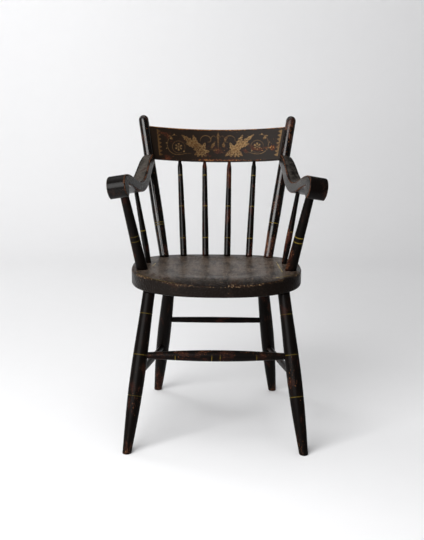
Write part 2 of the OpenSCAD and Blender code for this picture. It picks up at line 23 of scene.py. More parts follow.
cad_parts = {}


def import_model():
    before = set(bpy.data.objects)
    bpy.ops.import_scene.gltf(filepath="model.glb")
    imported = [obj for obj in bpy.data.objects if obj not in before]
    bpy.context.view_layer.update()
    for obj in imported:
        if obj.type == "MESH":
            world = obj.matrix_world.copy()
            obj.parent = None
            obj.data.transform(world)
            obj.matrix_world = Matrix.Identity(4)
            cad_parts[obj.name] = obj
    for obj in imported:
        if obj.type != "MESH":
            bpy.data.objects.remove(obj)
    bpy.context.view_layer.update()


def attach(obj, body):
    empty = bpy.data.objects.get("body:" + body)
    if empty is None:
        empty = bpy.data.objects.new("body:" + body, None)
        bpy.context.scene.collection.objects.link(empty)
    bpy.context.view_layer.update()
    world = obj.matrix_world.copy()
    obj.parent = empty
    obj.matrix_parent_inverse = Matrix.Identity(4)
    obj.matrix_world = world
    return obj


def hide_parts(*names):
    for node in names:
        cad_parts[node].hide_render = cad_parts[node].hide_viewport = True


LOG = logging.getLogger("armchair")
MM = 0.001
BODY = "root"
SHOULDER = 0.01  # Run of a square shoulder of turned work, in millimetres
Points = np.ndarray
Pair = tuple[float, float]
Triple = tuple[float, float, float]
Quad = tuple[float, float, float, float]
Stations = list[Pair]
Socket = bpy.types.NodeSocket
MATH, RANGE, MIX = "ShaderNodeMath", "ShaderNodeMapRange", "ShaderNodeMix"
NOISE, CELLS, VECTOR = "ShaderNodeTexNoise", "ShaderNodeTexVoronoi", "ShaderNodeVectorMath"
TIMES = {"operation": "MULTIPLY"}
LESS = {"operation": "SUBTRACT"}
PLUS_SHARE = {"operation": "MULTIPLY_ADD"}
STEP = {"interpolation_type": "SMOOTHSTEP"}
COLOUR = {"data_type": "RGBA"}


class Side(Enum):
    """The two mirrored halves of the chair, by the sign of X."""

    LEFT = -1
    RIGHT = 1

    @property
    def word(self) -> str:
        """The word that ends the names of this side's nodes."""
        return self.name.lower()


class Slot(Enum):
    """Names of the material slots."""

    TURNED = "turned_paint"
    SEAT = "seat_paint"
    CREST = "crest_paint"
    ARM = "arm_paint"


# Helpers for numbers and points


def point(x: float, y: float, z: float) -> Points:
    """A point in millimetres."""
    return np.array((x, y, z), float)


def unit(v: Points) -> Points:
    """The direction of a vector."""
    return v / np.linalg.norm(v)


def on_side(p: Points, side: Side) -> Points:
    """A right-hand point, mirrored if the side is the left one."""
    return p * (side.value, 1, 1)


def eased(a: float, b: float, share: Points | float) -> Points | float:
    """A share of the way from one value to another, eased at both ends."""
    return a + (b - a) * (1 - np.cos(np.pi * np.clip(share, 0, 1))) / 2


def blend_in(low: float, high: float, x: Points) -> Points:
    """0 up to the low value, 1 from the high value on, smooth between."""
    t = np.clip((x - low) / (high - low), 0, 1)
    return t * t * (3 - 2 * t)


def linear(colour: str) -> Quad:
    """Turns an sRGB hex colour into the linear one that shaders take.

    Args:
        colour: Hex digits with a leading hash.

    Returns:
        Linear red, green and blue, with an alpha of 1.
    """
    parts = (int(colour[i : i + 2], 16) / 255 for i in (1, 3, 5))
    return (*(c / 12.92 if c <= 0.04045 else ((c + 0.055) / 1.055) ** 2.4 for c in parts), 1.0)


# Helpers for node trees and meshes


@dataclass
class Wires:
    """Lays nodes and links in a node tree.

    Attributes:
        tree: The tree.
    """

    tree: bpy.types.NodeTree

    @classmethod
    def of(cls, owner: bpy.types.Material | bpy.types.World) -> "Wires":
        """Starts on the emptied tree of a material or of the world."""
        owner.use_nodes = True
        owner.node_tree.nodes.clear()
        return cls(owner.node_tree)

    @classmethod
    def geometry(cls, name: str, **sizes: str) -> tuple["Wires", bpy.types.bpy_prop_collection]:
        """Starts a Geometry Nodes tree with named inputs.

        Args:
            name: Name of the tree.
            sizes: Type of each input after its geometry, by the input's name.

        Returns:
            The wires, and what its Group Input node gives.
        """
        tree = bpy.data.node_groups.new(name, "GeometryNodeTree")
        for label, kind in {"Geometry": "Geometry", **sizes}.items():
            tree.interface.new_socket(label, in_out="INPUT", socket_type=f"NodeSocket{kind}")
        tree.interface.new_socket("Geometry", in_out="OUTPUT", socket_type="NodeSocketGeometry")
        wires = cls(tree)
        return wires, wires.add("NodeGroupInput")

    def add(self, kind: str, links: Sequence | dict = (), **settings: object) -> bpy.types.bpy_prop_collection:
        """Adds a node with its settings and links.

        Args:
            kind: Blender's type name of the node.
            links: An output socket or a plain value for the first inputs, or for inputs by name or number.
            settings: Properties of the node.

        Returns:
            The outputs of the new node.
        """
        node = self.tree.nodes.new(kind)
        for key, value in settings.items():
            setattr(node, key, value)
        for key, value in links.items() if isinstance(links, dict) else enumerate(links):
            if isinstance(value, Socket):
                self.tree.links.new(value, node.inputs[key])
            else:
                node.inputs[key].default_value = value
        return node.outputs

    def end(self, geometry: Socket, paint: Socket) -> bpy.types.NodeTree:
        """Ends a Geometry Nodes tree with real geometry that has its material, and gives the tree."""
        real = self.add("GeometryNodeRealizeInstances", (geometry,))[0]
        painted = self.add("GeometryNodeSetMaterial", {"Geometry": real, "Material": paint})[0]
        self.add("NodeGroupOutput", (painted,))
        return self.tree
def put(name: str, data: bpy.types.ID) -> bpy.types.Object:
    """Puts a mesh, a light or a camera into the scene."""
    made = bpy.data.objects.new(name, data)
    bpy.context.scene.collection.objects.link(made)
    return made


def run_tree(name: str, mesh: bpy.types.Mesh, tree: bpy.types.NodeTree, **values: object) -> bpy.types.Object:
    """Runs a Geometry Nodes tree on a mesh and keeps the result as a plain mesh.

    Args:
        name: Name of the new piece.
        mesh: Geometry that goes into the tree.
        tree: The tree.
        values: Value of each named input.

    Returns:
        The piece, at the origin and without modifiers.
    """
    piece = put(name, mesh)
    modifier = piece.modifiers.new(tree.name, "NODES")
    modifier.node_group = tree
    for socket in tree.interface.items_tree:
        if socket.in_out == "INPUT" and socket.name in values:
            modifier[socket.identifier] = values[socket.name]
    graph = bpy.context.evaluated_depsgraph_get()
    made = bpy.data.meshes.new_from_object(
        piece.evaluated_get(graph), preserve_all_data_layers=True, depsgraph=graph
    )
    piece.modifiers.clear()
    piece.data = made
    bpy.data.meshes.remove(mesh)
    return piece


def line_mesh(points: Points, **attributes: Points) -> bpy.types.Mesh:
    """An open line of points in millimetres as a mesh of edges, with a value for each point."""
    mesh = bpy.data.meshes.new("line")
    mesh.from_pydata((points * MM).tolist(), [(i, i + 1) for i in range(len(points) - 1)], [])
    for name, values in attributes.items():
        store(mesh, name, values)
    return mesh


def store(mesh: bpy.types.Mesh, name: str, values: Points) -> None:
    """Stores a number or a vector for each vertex under a name."""
    kind, key = ("FLOAT_VECTOR", "vector") if np.ndim(values) == 2 else ("FLOAT", "value")
    layer = mesh.attributes.new(name, kind, "POINT")
    layer.data.foreach_set(key, np.ascontiguousarray(values, np.float32).ravel())


def coordinates(mesh: bpy.types.Mesh) -> Points:
    """The vertices of a mesh, in millimetres."""
    flat = np.empty(len(mesh.vertices) * 3, np.float32)
    mesh.vertices.foreach_get("co", flat)
    return flat.reshape(-1, 3).astype(float) / MM


def loft(name: str, rings: Points, paint: bpy.types.Material, **attributes: Points) -> bpy.types.Object:
    """Skins closed rings of points into one closed solid.

    Args:
        name: Name of the piece.
        rings: Points in millimetres, by ring and by place round the ring.
        paint: Material of the piece.
        attributes: Values for each point of the rings, in the same order.

    Returns:
        The piece, with smooth shading and with faces that point outwards.
    """
    count, size = rings.shape[:2]
    places = np.concatenate([rings.reshape(-1, 3), [rings[0].mean(0), rings[-1].mean(0)]])
    turn = [(j, (j + 1) % size) for j in range(size)]
    starts = range(0, (count - 1) * size, size)
    faces = [(i + j, i + k, i + size + k, i + size + j) for i in starts for j, k in turn]
    last = (count - 1) * size
    for j, k in turn:
        faces += [(j, k, count * size), (last + k, last + j, count * size + 1)]
    mesh = bpy.data.meshes.new(name)
    mesh.from_pydata((places * MM).tolist(), [], faces)
    for label, values in attributes.items():
        flat = values.reshape(count * size, *values.shape[2:])
        store(mesh, label, np.concatenate([flat, flat[:1] * 0, flat[:1] * 0]))
    shell = bmesh.new()
    shell.from_mesh(mesh)
    bmesh.ops.remove_doubles(shell, verts=shell.verts, dist=1e-6)
    bmesh.ops.recalc_face_normals(shell, faces=shell.faces)
    for face in shell.faces:
        face.smooth = True
    shell.to_mesh(mesh)
    shell.free()
    mesh.materials.append(paint)
    return put(name, mesh)


def fit_to_frame(piece: bpy.types.Object, slot: Slot, *nodes: str) -> bpy.types.Object:
    """Makes a piece ride on the chair's body, in the place of the CAD nodes that it stands for."""
    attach(piece, BODY)
    if nodes:
        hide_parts(*nodes)
    LOG.info("%s: %d faces", piece.name, len(piece.data.polygons))
    return piece


# Sizes that the pieces share


@dataclass(frozen=True)
class Layout:
    """Places that several pieces share, from the same sizes as the CAD model's.

    Attributes:
        seat_h: Height of the seat's edge.
        seat_w: Width of the seat.
        seat_d: Depth of the seat.
        seat_t: Thickness of the seat.
        seat_mid_share: Share of the seat's depth that lies behind its widest place.
        front_leg_inset: Distance of a front leg from the side and from the front of the seat.
        rear_leg_inset: Distance of a rear leg from the side and from the back of the seat.
        front_splay: How far a front foot stands outwards and forwards of its socket.
        rear_splay: How far a rear foot stands outwards and backwards of its socket.
        foot_d: Diameter of a foot.
        post_inset: Distance of a back post from the side and from the back of the seat.
        post_lean: How far a back post's top stands outwards and backwards of its base.
        post_rise: Height of that top above the seat.
        crest_h: Height of the crest board.
        crest_t: Thickness of the crest board.
        crest_bow: How far its middle lies behind the plane of the posts.
        crest_below_top: How far its upper edge lies below the posts' tops.
    """

    seat_h: float = 438.0
    seat_w: float = 463.0
    seat_d: float = 368.0
    seat_t: float = 40.0
    seat_mid_share: float = 0.46
    front_leg_inset: Pair = (54.5, 81.0)
    rear_leg_inset: Pair = (101.5, 77.0)
    front_splay: Pair = (51.0, 141.0)
    rear_splay: Pair = (46.0, 136.0)
    foot_d: float = 23.0
    post_inset: Pair = (81.5, 35.0)
    post_lean: Pair = (65.0, 116.0)
    post_rise: float = 382.0
    crest_h: float = 96.0
    crest_t: float = 14.0
    crest_bow: float = 45.0
    crest_below_top: float = 18.0

    @property
    def back_lean(self) -> float:
        """Lean of the back, in radians."""
        return math.atan(self.post_lean[1] / self.post_rise)

    @property
    def back_height(self) -> float:
        """Slanted height of the posts above the seat."""
        return self.post_rise / math.cos(self.back_lean)

    @property
    def crest_top(self) -> float:
        """Slanted height of the crest's top above the seat."""
        return self.back_height - self.crest_below_top

    @property
    def crest_bottom(self) -> float:
        """Slanted height of the crest's lower edge above the seat."""
        return self.crest_top - self.crest_h

    @property
    def crest_half(self) -> float:
        """Half the width between the posts at the middle of the crest."""
        return self.post_base[0] + self.post_lean[0] * (self.crest_top - self.crest_h / 2) / self.back_height

    @property
    def bow_r(self) -> float:
        """Radius of the crest's middle surface."""
        return (self.crest_half**2 + self.crest_bow**2) / (2 * self.crest_bow)

    @property
    def seat_back(self) -> float:
        """Y of the back of the seat, with the origin midway between the front feet and the crest."""
        lean = self.back_lean
        forward = self.seat_d - self.front_leg_inset[1] + self.front_splay[1] + self.foot_d / 2
        reach = self.crest_bow + self.crest_t / 2
        back = self.crest_top * math.sin(lean) + reach * math.cos(lean) - self.post_inset[1]
        return (forward - back) / 2

    @property
    def seat_front(self) -> float:
        """Y of the front of the seat."""
        return self.seat_back - self.seat_d

    @property
    def seat_mid(self) -> float:
        """Y of the widest place of the seat."""
        return self.seat_back - self.seat_d * self.seat_mid_share

    @property
    def seat_under(self) -> float:
        """Height of the underside of the seat."""
        return self.seat_h - self.seat_t

    def from_front(self, inset: Pair, z: float) -> Points:
        """Point over the right half of the seat, by its distances from the side and the front."""
        return point(self.seat_w / 2 - inset[0], self.seat_front + inset[1], z)

    def from_back(self, inset: Pair, z: float) -> Points:
        """Point over the right half of the seat, by its distances from the side and the back."""
        return point(self.seat_w / 2 - inset[0], self.seat_back - inset[1], z)

    @property
    def front_socket(self) -> Points:
        """Where the right front leg meets the seat."""
        return self.from_front(self.front_leg_inset, self.seat_under)

    @property
    def rear_socket(self) -> Points:
        """Where the right rear leg meets the seat."""
        return self.from_back(self.rear_leg_inset, self.seat_under)

    @property
    def front_foot(self) -> Points:
        """Where the right front leg meets the floor."""
        return self.front_socket + point(self.front_splay[0], -self.front_splay[1], -self.seat_under)

    @property
    def rear_foot(self) -> Points:
        """Where the right rear leg meets the floor."""
        return self.rear_socket + point(*self.rear_splay, -self.seat_under)

    @property
    def post_base(self) -> Points:
        """Where the right back post meets the seat."""
        return self.from_back(self.post_inset, self.seat_h)

    @property
    def post_top(self) -> Points:
        """Centre of the right back post's dome."""
        return self.post_base + point(*self.post_lean, self.post_rise)

    def back_point(self, x: Points, behind: Points, up: Points) -> Points:
        """Points of the leaned back.

        Args:
            x: Across the chair.
            behind: Behind the plane of the posts.
            up: Up the lean, from the seat.

        Returns:
            The points in the chair's frame.
        """
        c, s = math.cos(self.back_lean), math.sin(self.back_lean)
        y = self.post_base[1] + behind * c + up * s
        return np.stack(np.broadcast_arrays(x, y, self.seat_h - behind * s + up * c), -1)


def at_height(a: Points, b: Points, z: float) -> Points:
    """Point of a line at a height."""
    return a + (b - a) * (z - a[2]) / (b[2] - a[2])


# Finishes


@dataclass(frozen=True)
class OldPaint:
    """Oil paint over a red-brown ground on maple and pine, thin with age, under a satin varnish.

    It gives the eye a nearly black surface with a soft grey gloss, which turns brown where the
    ground shows and has sharp orange-brown flecks of bare wood along what hands and shoes rub.

    Attributes:
        name: Name of the material.
        top: Colour of the paint.
        haze_and_sheen: Colour of the paint where dust and fine scratches lie in it, and of the painted sheen on the
            tops of the seat and the arms.
        haze_and_sheen_show: How much of the haze and painted sheen shows, from 0 to 1.
        bare: Share of it that shows where there is no dust and no painted sheen.
        ground: Colour of the ground under the paint.
        wood: Colour of the bare wood.
        chip: Colour of the fresher wood in the small chips.
        stripe: Colour of the painted stripes.
        gilt: Colours of the bronze powder, from dull to bright.
        gloss: Roughness where the varnish is whole, and where it is worn.
        specular: Strength of the varnish's reflection, 0.5 for a clean one.
        coat: Weight of a second, clear coat.
        fleck_mm: Size of a fleck of bare wood.
        patch_mm: Size of a patch in which the ground shows.
        fine_mm: Size of the fine unevenness of the paint.
        mottle: How much the flecks show in the haze.
        along: How many times longer than wide the marks are, along the grain.
        relief: Depth of the surface's relief, in millimetres.
        chip_mm: Distance between the places that may have a chip.
        chips: Share of those places that has one where the wear is 0, and how much a wear of 1 adds.
        crackle_mm: Width of the cells of the paint's crackle, or 0 for none.
        knot: Place of a knot in the plank, in the piece's own coordinates, or none.
        rough_noise: Weight of each finer octave of the marks.
        haze_span: Values of the haze's noise from which it starts and is full. The next ones are alike.
        ground_span: The same for the ground.
        rub_span: The same for the rubbing of stripes and bronze.
        wood_span: The same for the bare wood.
        chip_span: The same for the size of a chip.
        crack_span: The same for a crack of the crackle.
        ring_turns: Growth rings round the knot, in radians for each metre.
        ring_shake: How far the noise shakes them, in radians.
        ring_span: Distance in metres from the knot at which they start to fade, and are gone.
        most_ground: How much of the ground's colour shows at most.
        most_rubbed: How much of a stripe or the bronze is lost where it is rubbed.
        most_crack: How dark a crack is.
        pit: Height of the bare wood and the chips in the relief, where the fine unevenness is 1.
        coat_gloss: Roughness of the second coat.
    """

    name: str
    top: str = "#0b0807"
    haze_and_sheen: str = "#211a15"
    haze_and_sheen_show: float = 0.5
    bare: float = 0.25
    ground: str = "#3a1a12"
    wood: str = "#70452a"
    chip: str = "#8f5c34"
    stripe: str = "#8a742c"
    gilt: tuple[str, str] = ("#4b321b", "#786040")
    gloss: Pair = (0.25, 0.5)
    specular: float = 0.4
    coat: float = 0.0
    fleck_mm: float = 2.2
    patch_mm: float = 30.0
    fine_mm: float = 1.5
    mottle: float = 0.35
    along: float = 2.6
    relief: float = 0.08
    chip_mm: float = 6.0
    chips: Pair = (0.03, 0.4)
    crackle_mm: float = 0.0
    knot: Triple | None = None
    rough_noise: ClassVar[float] = 0.6
    haze_span: ClassVar[Pair] = (0.42, 0.92)
    ground_span: ClassVar[Pair] = (0.75, 0.93)
    rub_span: ClassVar[Pair] = (0.82, 1.02)
    wood_span: ClassVar[Pair] = (0.9, 0.96)
    chip_span: ClassVar[Pair] = (0.58, 0.72)
    crack_span: ClassVar[Pair] = (0.12, 0.36)
    ring_turns: ClassVar[float] = 1150.0
    ring_shake: ClassVar[float] = 9.0
    ring_span: ClassVar[Pair] = (0.015, 0.06)
    most_ground: ClassVar[float] = 0.85
    most_rubbed: ClassVar[float] = 0.85
    most_crack: ClassVar[float] = 0.55
    pit: ClassVar[float] = -0.8
    coat_gloss: ClassVar[float] = 0.12

    def noise(self, wires: Wires, where: Socket, size_mm: float, detail: float, along: float = 1.0) -> Socket:
        """Noise with marks of a real size, stretched along the piece.

        Args:
            wires: The material's wires.
            where: Coordinates in metres, with Z along the grain.
            size_mm: Size of a mark across the grain.
            detail: Octaves of finer marks.
            along: How many times longer a mark is along the grain.

        Returns:
            The socket with the noise, about 0.5 in the mean.
        """
        scaled = wires.add("ShaderNodeMapping", {"Vector": where, "Scale": (1, 1, 1 / along)})[0]
        links = {"Vector": scaled, "Scale": 1 / (size_mm * MM), "Detail": detail, "Roughness": self.rough_noise}
        return wires.add(NOISE, links)[0]

    def growth_rings(self, wires: Wires, own: Socket, clouds: Socket) -> Socket:
        """The rings round a knot, which print through the paint."""
        node = wires.add
        away = node(VECTOR, (own, tuple(c * MM for c in self.knot)), operation="DISTANCE")["Value"]
        turns = node(MATH, (clouds, self.ring_shake, node(MATH, (away, self.ring_turns), **TIMES)[0]), **PLUS_SHARE)
        near = node(MATH, (1.0, node(RANGE, (away, *self.ring_span), **STEP)[0]), **LESS)[0]
        return node(MATH, (node(MATH, (turns[0],), operation="SINE")[0], near), **TIMES)[0]

    def small_chips(self, wires: Wires, own: Socket, wear: Socket, flecks: Socket, fine: Socket) -> Socket:
        """Small chips with ragged edges, more of them where the wear is high."""
        node = wires.add
        spots = node(CELLS, {"Vector": own, "Scale": 1 / (self.chip_mm * MM)})
        few, more = self.chips
        here = node(MATH, (wear, more, spots["Color"]), **PLUS_SHARE)[0]
        here = node(RANGE, (here, 1 - few, 1.04 - few), **STEP)[0]
        size = node(MATH, (flecks, 0.5, spots["Distance"]), **PLUS_SHARE)[0]
        size = node(MATH, (fine, 0.6, size), **PLUS_SHARE)[0]
        inside = node(MATH, (1.0, node(RANGE, (size, *self.chip_span), **STEP)[0]), **LESS)[0]
        return node(MATH, (here, inside), **TIMES)[0]

    def cracks(self, wires: Wires, own: Socket, fine: Socket) -> Socket:
        """The open cracks between the cells of the crackle."""
        node = wires.add
        shifted = node(VECTOR, (own, (0.004, 0.004, 0.004)), operation="ADD")[0]
        cells = node(CELLS, {"Vector": shifted, "Scale": 1 / (self.crackle_mm * MM)}, feature="DISTANCE_TO_EDGE")
        away = node(MATH, (fine, 0.2, cells["Distance"]), **PLUS_SHARE)[0]
        return node(MATH, (1.0, node(RANGE, (away, *self.crack_span), **STEP)[0]), **LESS)[0]
    def material(self) -> bpy.types.Material:
        """Builds the material.

        Returns:
            A material that reads the attributes own, wear, stripe, gild and tone of a piece, and the one of dust
            and painted sheen.
        """
        made = bpy.data.materials.new(self.name)
        wires = Wires.of(made)
        node = wires.add
        own = node("ShaderNodeAttribute", attribute_name="own")["Vector"]
        names = ("wear", "dust", "stripe", "gild", "tone")
        carried = [node("ShaderNodeAttribute", attribute_name=name)["Fac"] for name in names]
        wear, dust, stripe, gild, tone = carried
        flecks = self.noise(wires, own, self.fleck_mm, 4.0, self.along)
        clouds = self.noise(wires, own, self.patch_mm, 3.0, 1.6)
        fine = self.noise(wires, own, self.fine_mm, 3.0)
        grain = self.noise(wires, own, self.fine_mm * 0.8, 2.0, 14.0)

        mottled = node(MATH, (flecks, 0.5), **LESS)[0]
        haze_and_sheen = node(MATH, (mottled, self.mottle, clouds), **PLUS_SHARE)[0]
        haze_and_sheen = node(MATH, (dust, 0.2, haze_and_sheen), **PLUS_SHARE)[0]
        relief = node(MATH, (fine, 0.5, node(MATH, (grain, 0.5), **TIMES)[0]), **PLUS_SHARE)[0]
        if self.knot:
            turns = self.growth_rings(wires, own, clouds)
            haze_and_sheen = node(MATH, (turns, 0.16, haze_and_sheen), **PLUS_SHARE)[0]
            relief = node(MATH, (turns, 1.0, relief), **PLUS_SHARE)[0]
        # Dust lays the pale haze. On the tops of the seat and the arms it is also a painted sheen, the grazing
        # reflection of the pale room
        laid = node(MATH, (dust, 1 - self.bare, self.bare), **PLUS_SHARE)[0]
        shown = node(MATH, (node(RANGE, (haze_and_sheen, *self.haze_span), **STEP)[0], laid), **TIMES)[0]
        shown = node(MATH, (shown, self.haze_and_sheen_show), **TIMES)[0]
        colour = node(MIX, {0: shown, 6: linear(self.top), 7: linear(self.haze_and_sheen)}, **COLOUR)[2]
        # Brown shows in soft patches, and more of it round the worn places
        brown = node(MATH, (wear, 0.3, clouds), **PLUS_SHARE)[0]
        brown = node(MATH, (flecks, 0.25, brown), **PLUS_SHARE)[0]
        brown = node(RANGE, (brown, *self.ground_span), **STEP)[0]
        shown = node(MATH, (brown, self.most_ground), **TIMES)[0]
        colour = node(MIX, {0: shown, 6: colour, 7: linear(self.ground)}, **COLOUR)[2]
        # The stripes and the bronze lie on the paint and are rubbed through in flecks
        rubbed = node(MATH, (clouds, 0.6, flecks), **PLUS_SHARE)[0]
        rubbed = node(MATH, (wear, 0.2, rubbed), **PLUS_SHARE)[0]
        rubbed = node(RANGE, (rubbed, *self.rub_span), **STEP)[0]
        kept = node(MATH, (rubbed, -self.most_rubbed, 1.0), **PLUS_SHARE)[0]
        shown = node(MATH, (stripe, kept), **TIMES)[0]
        colour = node(MIX, {0: shown, 6: colour, 7: linear(self.stripe)}, **COLOUR)[2]
        gilded = node(MATH, (gild, kept), **TIMES)[0]
        dull, bright = map(linear, self.gilt)
        bronze = node(MIX, {0: tone, 6: dull, 7: bright}, **COLOUR)[2]
        colour = node(MIX, {0: gilded, 6: colour, 7: bronze}, **COLOUR)[2]
        # Flecks of bare wood, rare on the open surface and dense where wear is near 1
        wood = node(MATH, (clouds, 0.3, flecks), **PLUS_SHARE)[0]
        wood = node(MATH, (wear, 0.25, wood), **PLUS_SHARE)[0]
        wood = node(RANGE, (wood, *self.wood_span), **STEP)[0]
        colour = node(MIX, {0: wood, 6: colour, 7: linear(self.wood)}, **COLOUR)[2]
        chip = self.small_chips(wires, own, wear, flecks, fine)
        colour = node(MIX, {0: chip, 6: colour, 7: linear(self.chip)}, **COLOUR)[2]
        if self.crackle_mm:
            cracks = self.cracks(wires, own, fine)
            shown = node(MATH, (cracks, self.most_crack), **TIMES)[0]
            colour = node(MIX, {0: shown, 6: colour, 7: linear(self.top)}, **COLOUR)[2]
            relief = node(MATH, (cracks, -1.2, relief), **PLUS_SHARE)[0]

        worn = node(MATH, (wood, node(MATH, (brown, 0.6), **TIMES)[0]), operation="MAXIMUM")[0]
        rough = node(MATH, (fine, 0.3, worn), **PLUS_SHARE)[0]
        for pitted in (wood, chip):
            relief = node(MATH, (pitted, self.pit, relief), **PLUS_SHARE)[0]
        bump = {"Strength": 1.0, "Distance": self.relief * MM, "Height": relief}
        shader = {
            "Base Color": colour,
            "Roughness": node(RANGE, (rough, 0.0, 1.0, *self.gloss))[0],
            "Metallic": node(MATH, (gilded, 0.35), **TIMES)[0],
            "Specular IOR Level": self.specular,
            "Normal": node("ShaderNodeBump", bump)[0],
            "Coat Weight": self.coat,
            "Coat Roughness": self.coat_gloss,
        }
        node("ShaderNodeOutputMaterial", {"Surface": node("ShaderNodeBsdfPrincipled", shader)[0]})
        return made
# The back's posts and spindles keep their varnish, so a window draws a sharp bright line down them
BACK_PAINT = OldPaint(
    "old_varnished_paint_on_the_back", top="#090706", gloss=(0.12, 0.32), specular=0.13, coat=0.06, relief=0.05
)
POST_PAINT = replace(
    BACK_PAINT,
    name="old_varnished_paint_on_the_posts",
    ground="#2e1710",
    chip="#a4693a",
    gloss=(0.14, 0.4),
    specular=0.4,
    chip_mm=4.5,
    chips=(0.05, 1.2),
)
# The legs have lost theirs to shoes and mops, so they are a soft brown-black
LEG_PAINT = OldPaint(
    "old_dull_paint_on_the_legs",
    haze_and_sheen="#2b1f18",
    haze_and_sheen_show=0.9,
    ground="#2b150f",
    wood="#62402a",
    gloss=(0.32, 0.55),
    specular=0.05,
)
# On the seat the pale haze is dust and a painted sheen, the grazing reflection of the pale room on its top
SEAT_PAINT = OldPaint(
    "old_crackled_paint_on_the_seat",
    top="#15100d",
    haze_and_sheen="#75675b",
    haze_and_sheen_show=1.0,
    bare=0.05,
    ground="#2b1a11",
    wood="#8a7257",
    chip="#94806a",
    stripe="#d2bb70",
    gloss=(0.26, 0.5),
    specular=0.07,
    fleck_mm=3.6,
    patch_mm=28.0,
    fine_mm=3.0,
    mottle=1.05,
    along=3.6,
    relief=0.4,
    crackle_mm=7.0,
    knot=(-66.7, 435.0, 29.8),
)
# On the arms the pale haze is dust and, on their tops, a painted sheen
ARM_PAINT = OldPaint(
    "old_polished_paint_on_the_arms",
    haze_and_sheen="#57524c",
    haze_and_sheen_show=0.9,
    bare=0.03,
    ground="#26150e",
    gloss=(0.2, 0.5),
    specular=0.12,
    along=1.5,
)
CREST_PAINT = OldPaint(
    "old_paint_with_bronze_on_the_crest",
    top="#1c140e",
    haze_and_sheen="#31221a",
    ground="#452113",
    wood="#966636",
    gloss=(0.4, 0.6),
    specular=0.09,
    fleck_mm=3.2,
    along=1.2,
)


@dataclass(frozen=True)
class BackdropPaper:
    """Matt off-white background paper, which gives the eye a plain pale floor and wall.

    Attributes:
        colour: Colour of the paper.
        tooth: How bright the paper is where its tooth is darkest.
        dark_way: Direction over the floor in which the gloss of the chair sees it darker.
        dark_from: Where the gloss of the chair starts to see the floor in front of it and to its right
            painted black, in metres, and where it sees nothing else.
        pale_from: Half width and front end of the lit floor, in metres.
        pale_run: Distance in metres beyond it over which the camera's floor brightens.
        pale: How bright the floor beyond it is to the camera, which no lamp reaches.
    """

    colour: str = "#f0f0f1"
    tooth: float = 0.985
    dark_way: Triple = (1.0, -0.5, 0.0)
    dark_from: Pair = (-0.4, 1.5)
    pale_from: Pair = (1.9, -1.6)
    pale_run: float = 2.4
    pale: float = 0.45

    def material(self) -> bpy.types.Material:
        """Builds the material, with a faint tooth in its tone."""
        made = bpy.data.materials.new("matt_background_paper")
        node = Wires.of(made).add
        where = node("ShaderNodeTexCoord")["Object"]
        tooth = node(NOISE, {"Vector": where, "Scale": 14.0, "Detail": 3.0})[0]
        light = linear(self.colour)
        dark = (*(self.tooth * c for c in light[:3]), 1.0)
        tone = node(MIX, {0: tooth, 6: dark, 7: light}, **COLOUR)[2]
        # Glossy rays see this part of the floor black: a painted dark reflection in the chair's gloss
        across = node(VECTOR, (where, self.dark_way), operation="DOT_PRODUCT")["Value"]
        dark_reflection = node(RANGE, (across, *self.dark_from))[0]
        ray = node("ShaderNodeLightPath")
        dark_reflection = node(MATH, (dark_reflection, ray["Is Glossy Ray"]), **TIMES)[0]
        # Far to the sides and behind the camera the floor stays pale to the eye, without more light
        parts = node("ShaderNodeSeparateXYZ", (where,))
        half, front = self.pale_from
        beside = node(MATH, (node(MATH, (parts[0],), operation="ABSOLUTE")[0], half), **LESS)[0]
        away = node(MATH, (beside, node(MATH, (front, parts[1]), **LESS)[0]), operation="MAXIMUM")[0]
        fill = node(RANGE, (away, 0.0, self.pale_run, 0.0, self.pale))[0]
        shader = {
            "Base Color": node(MIX, {0: dark_reflection, 6: tone, 7: (0, 0, 0, 1)}, **COLOUR)[2],
            "Roughness": 0.9,
            "Specular IOR Level": 0.0,
            "Emission Color": light,
            "Emission Strength": node(MATH, (fill, ray["Is Camera Ray"]), **TIMES)[0],
        }
        node("ShaderNodeOutputMaterial", {"Surface": node("ShaderNodeBsdfPrincipled", shader)[0]})
        return made
# Turned work


@dataclass(frozen=True)
class Ring:
    """A ring round a turned piece.

    Attributes:
        at: Distance along the piece.
        paint: How much of its yellow stripe is left, from 0 to 1.
        scribed: Whether a groove is cut there.
    """

    at: float
    paint: float = 1.0
    scribed: bool = True


@dataclass(frozen=True)
class Rub:
    """A place of a turned piece that hands, shoes or cloth have rubbed.

    Attributes:
        towards: The side that is rubbed, as a direction.
        low: Where it starts along the piece.
        high: Where it ends.
        amount: Wear in its middle.
        fade: Half the length over which it starts and ends.
        narrow: How fast it fades round the piece.
    """

    towards: Triple
    low: float
    high: float
    amount: float
    fade: ClassVar[float] = 12.0
    narrow: ClassVar[float] = 1.6

    def wear(self, s: Points, facing: Points) -> Points:
        """Wear at distances along the piece, where it faces in given directions."""
        starts = blend_in(self.low - self.fade, self.low + self.fade, s)
        ends = blend_in(self.high - self.fade, self.high + self.fade, s)
        side = np.clip(facing @ unit(np.array(self.towards)), 0, 1) ** self.narrow
        return self.amount * (starts * (1 - ends)) * side


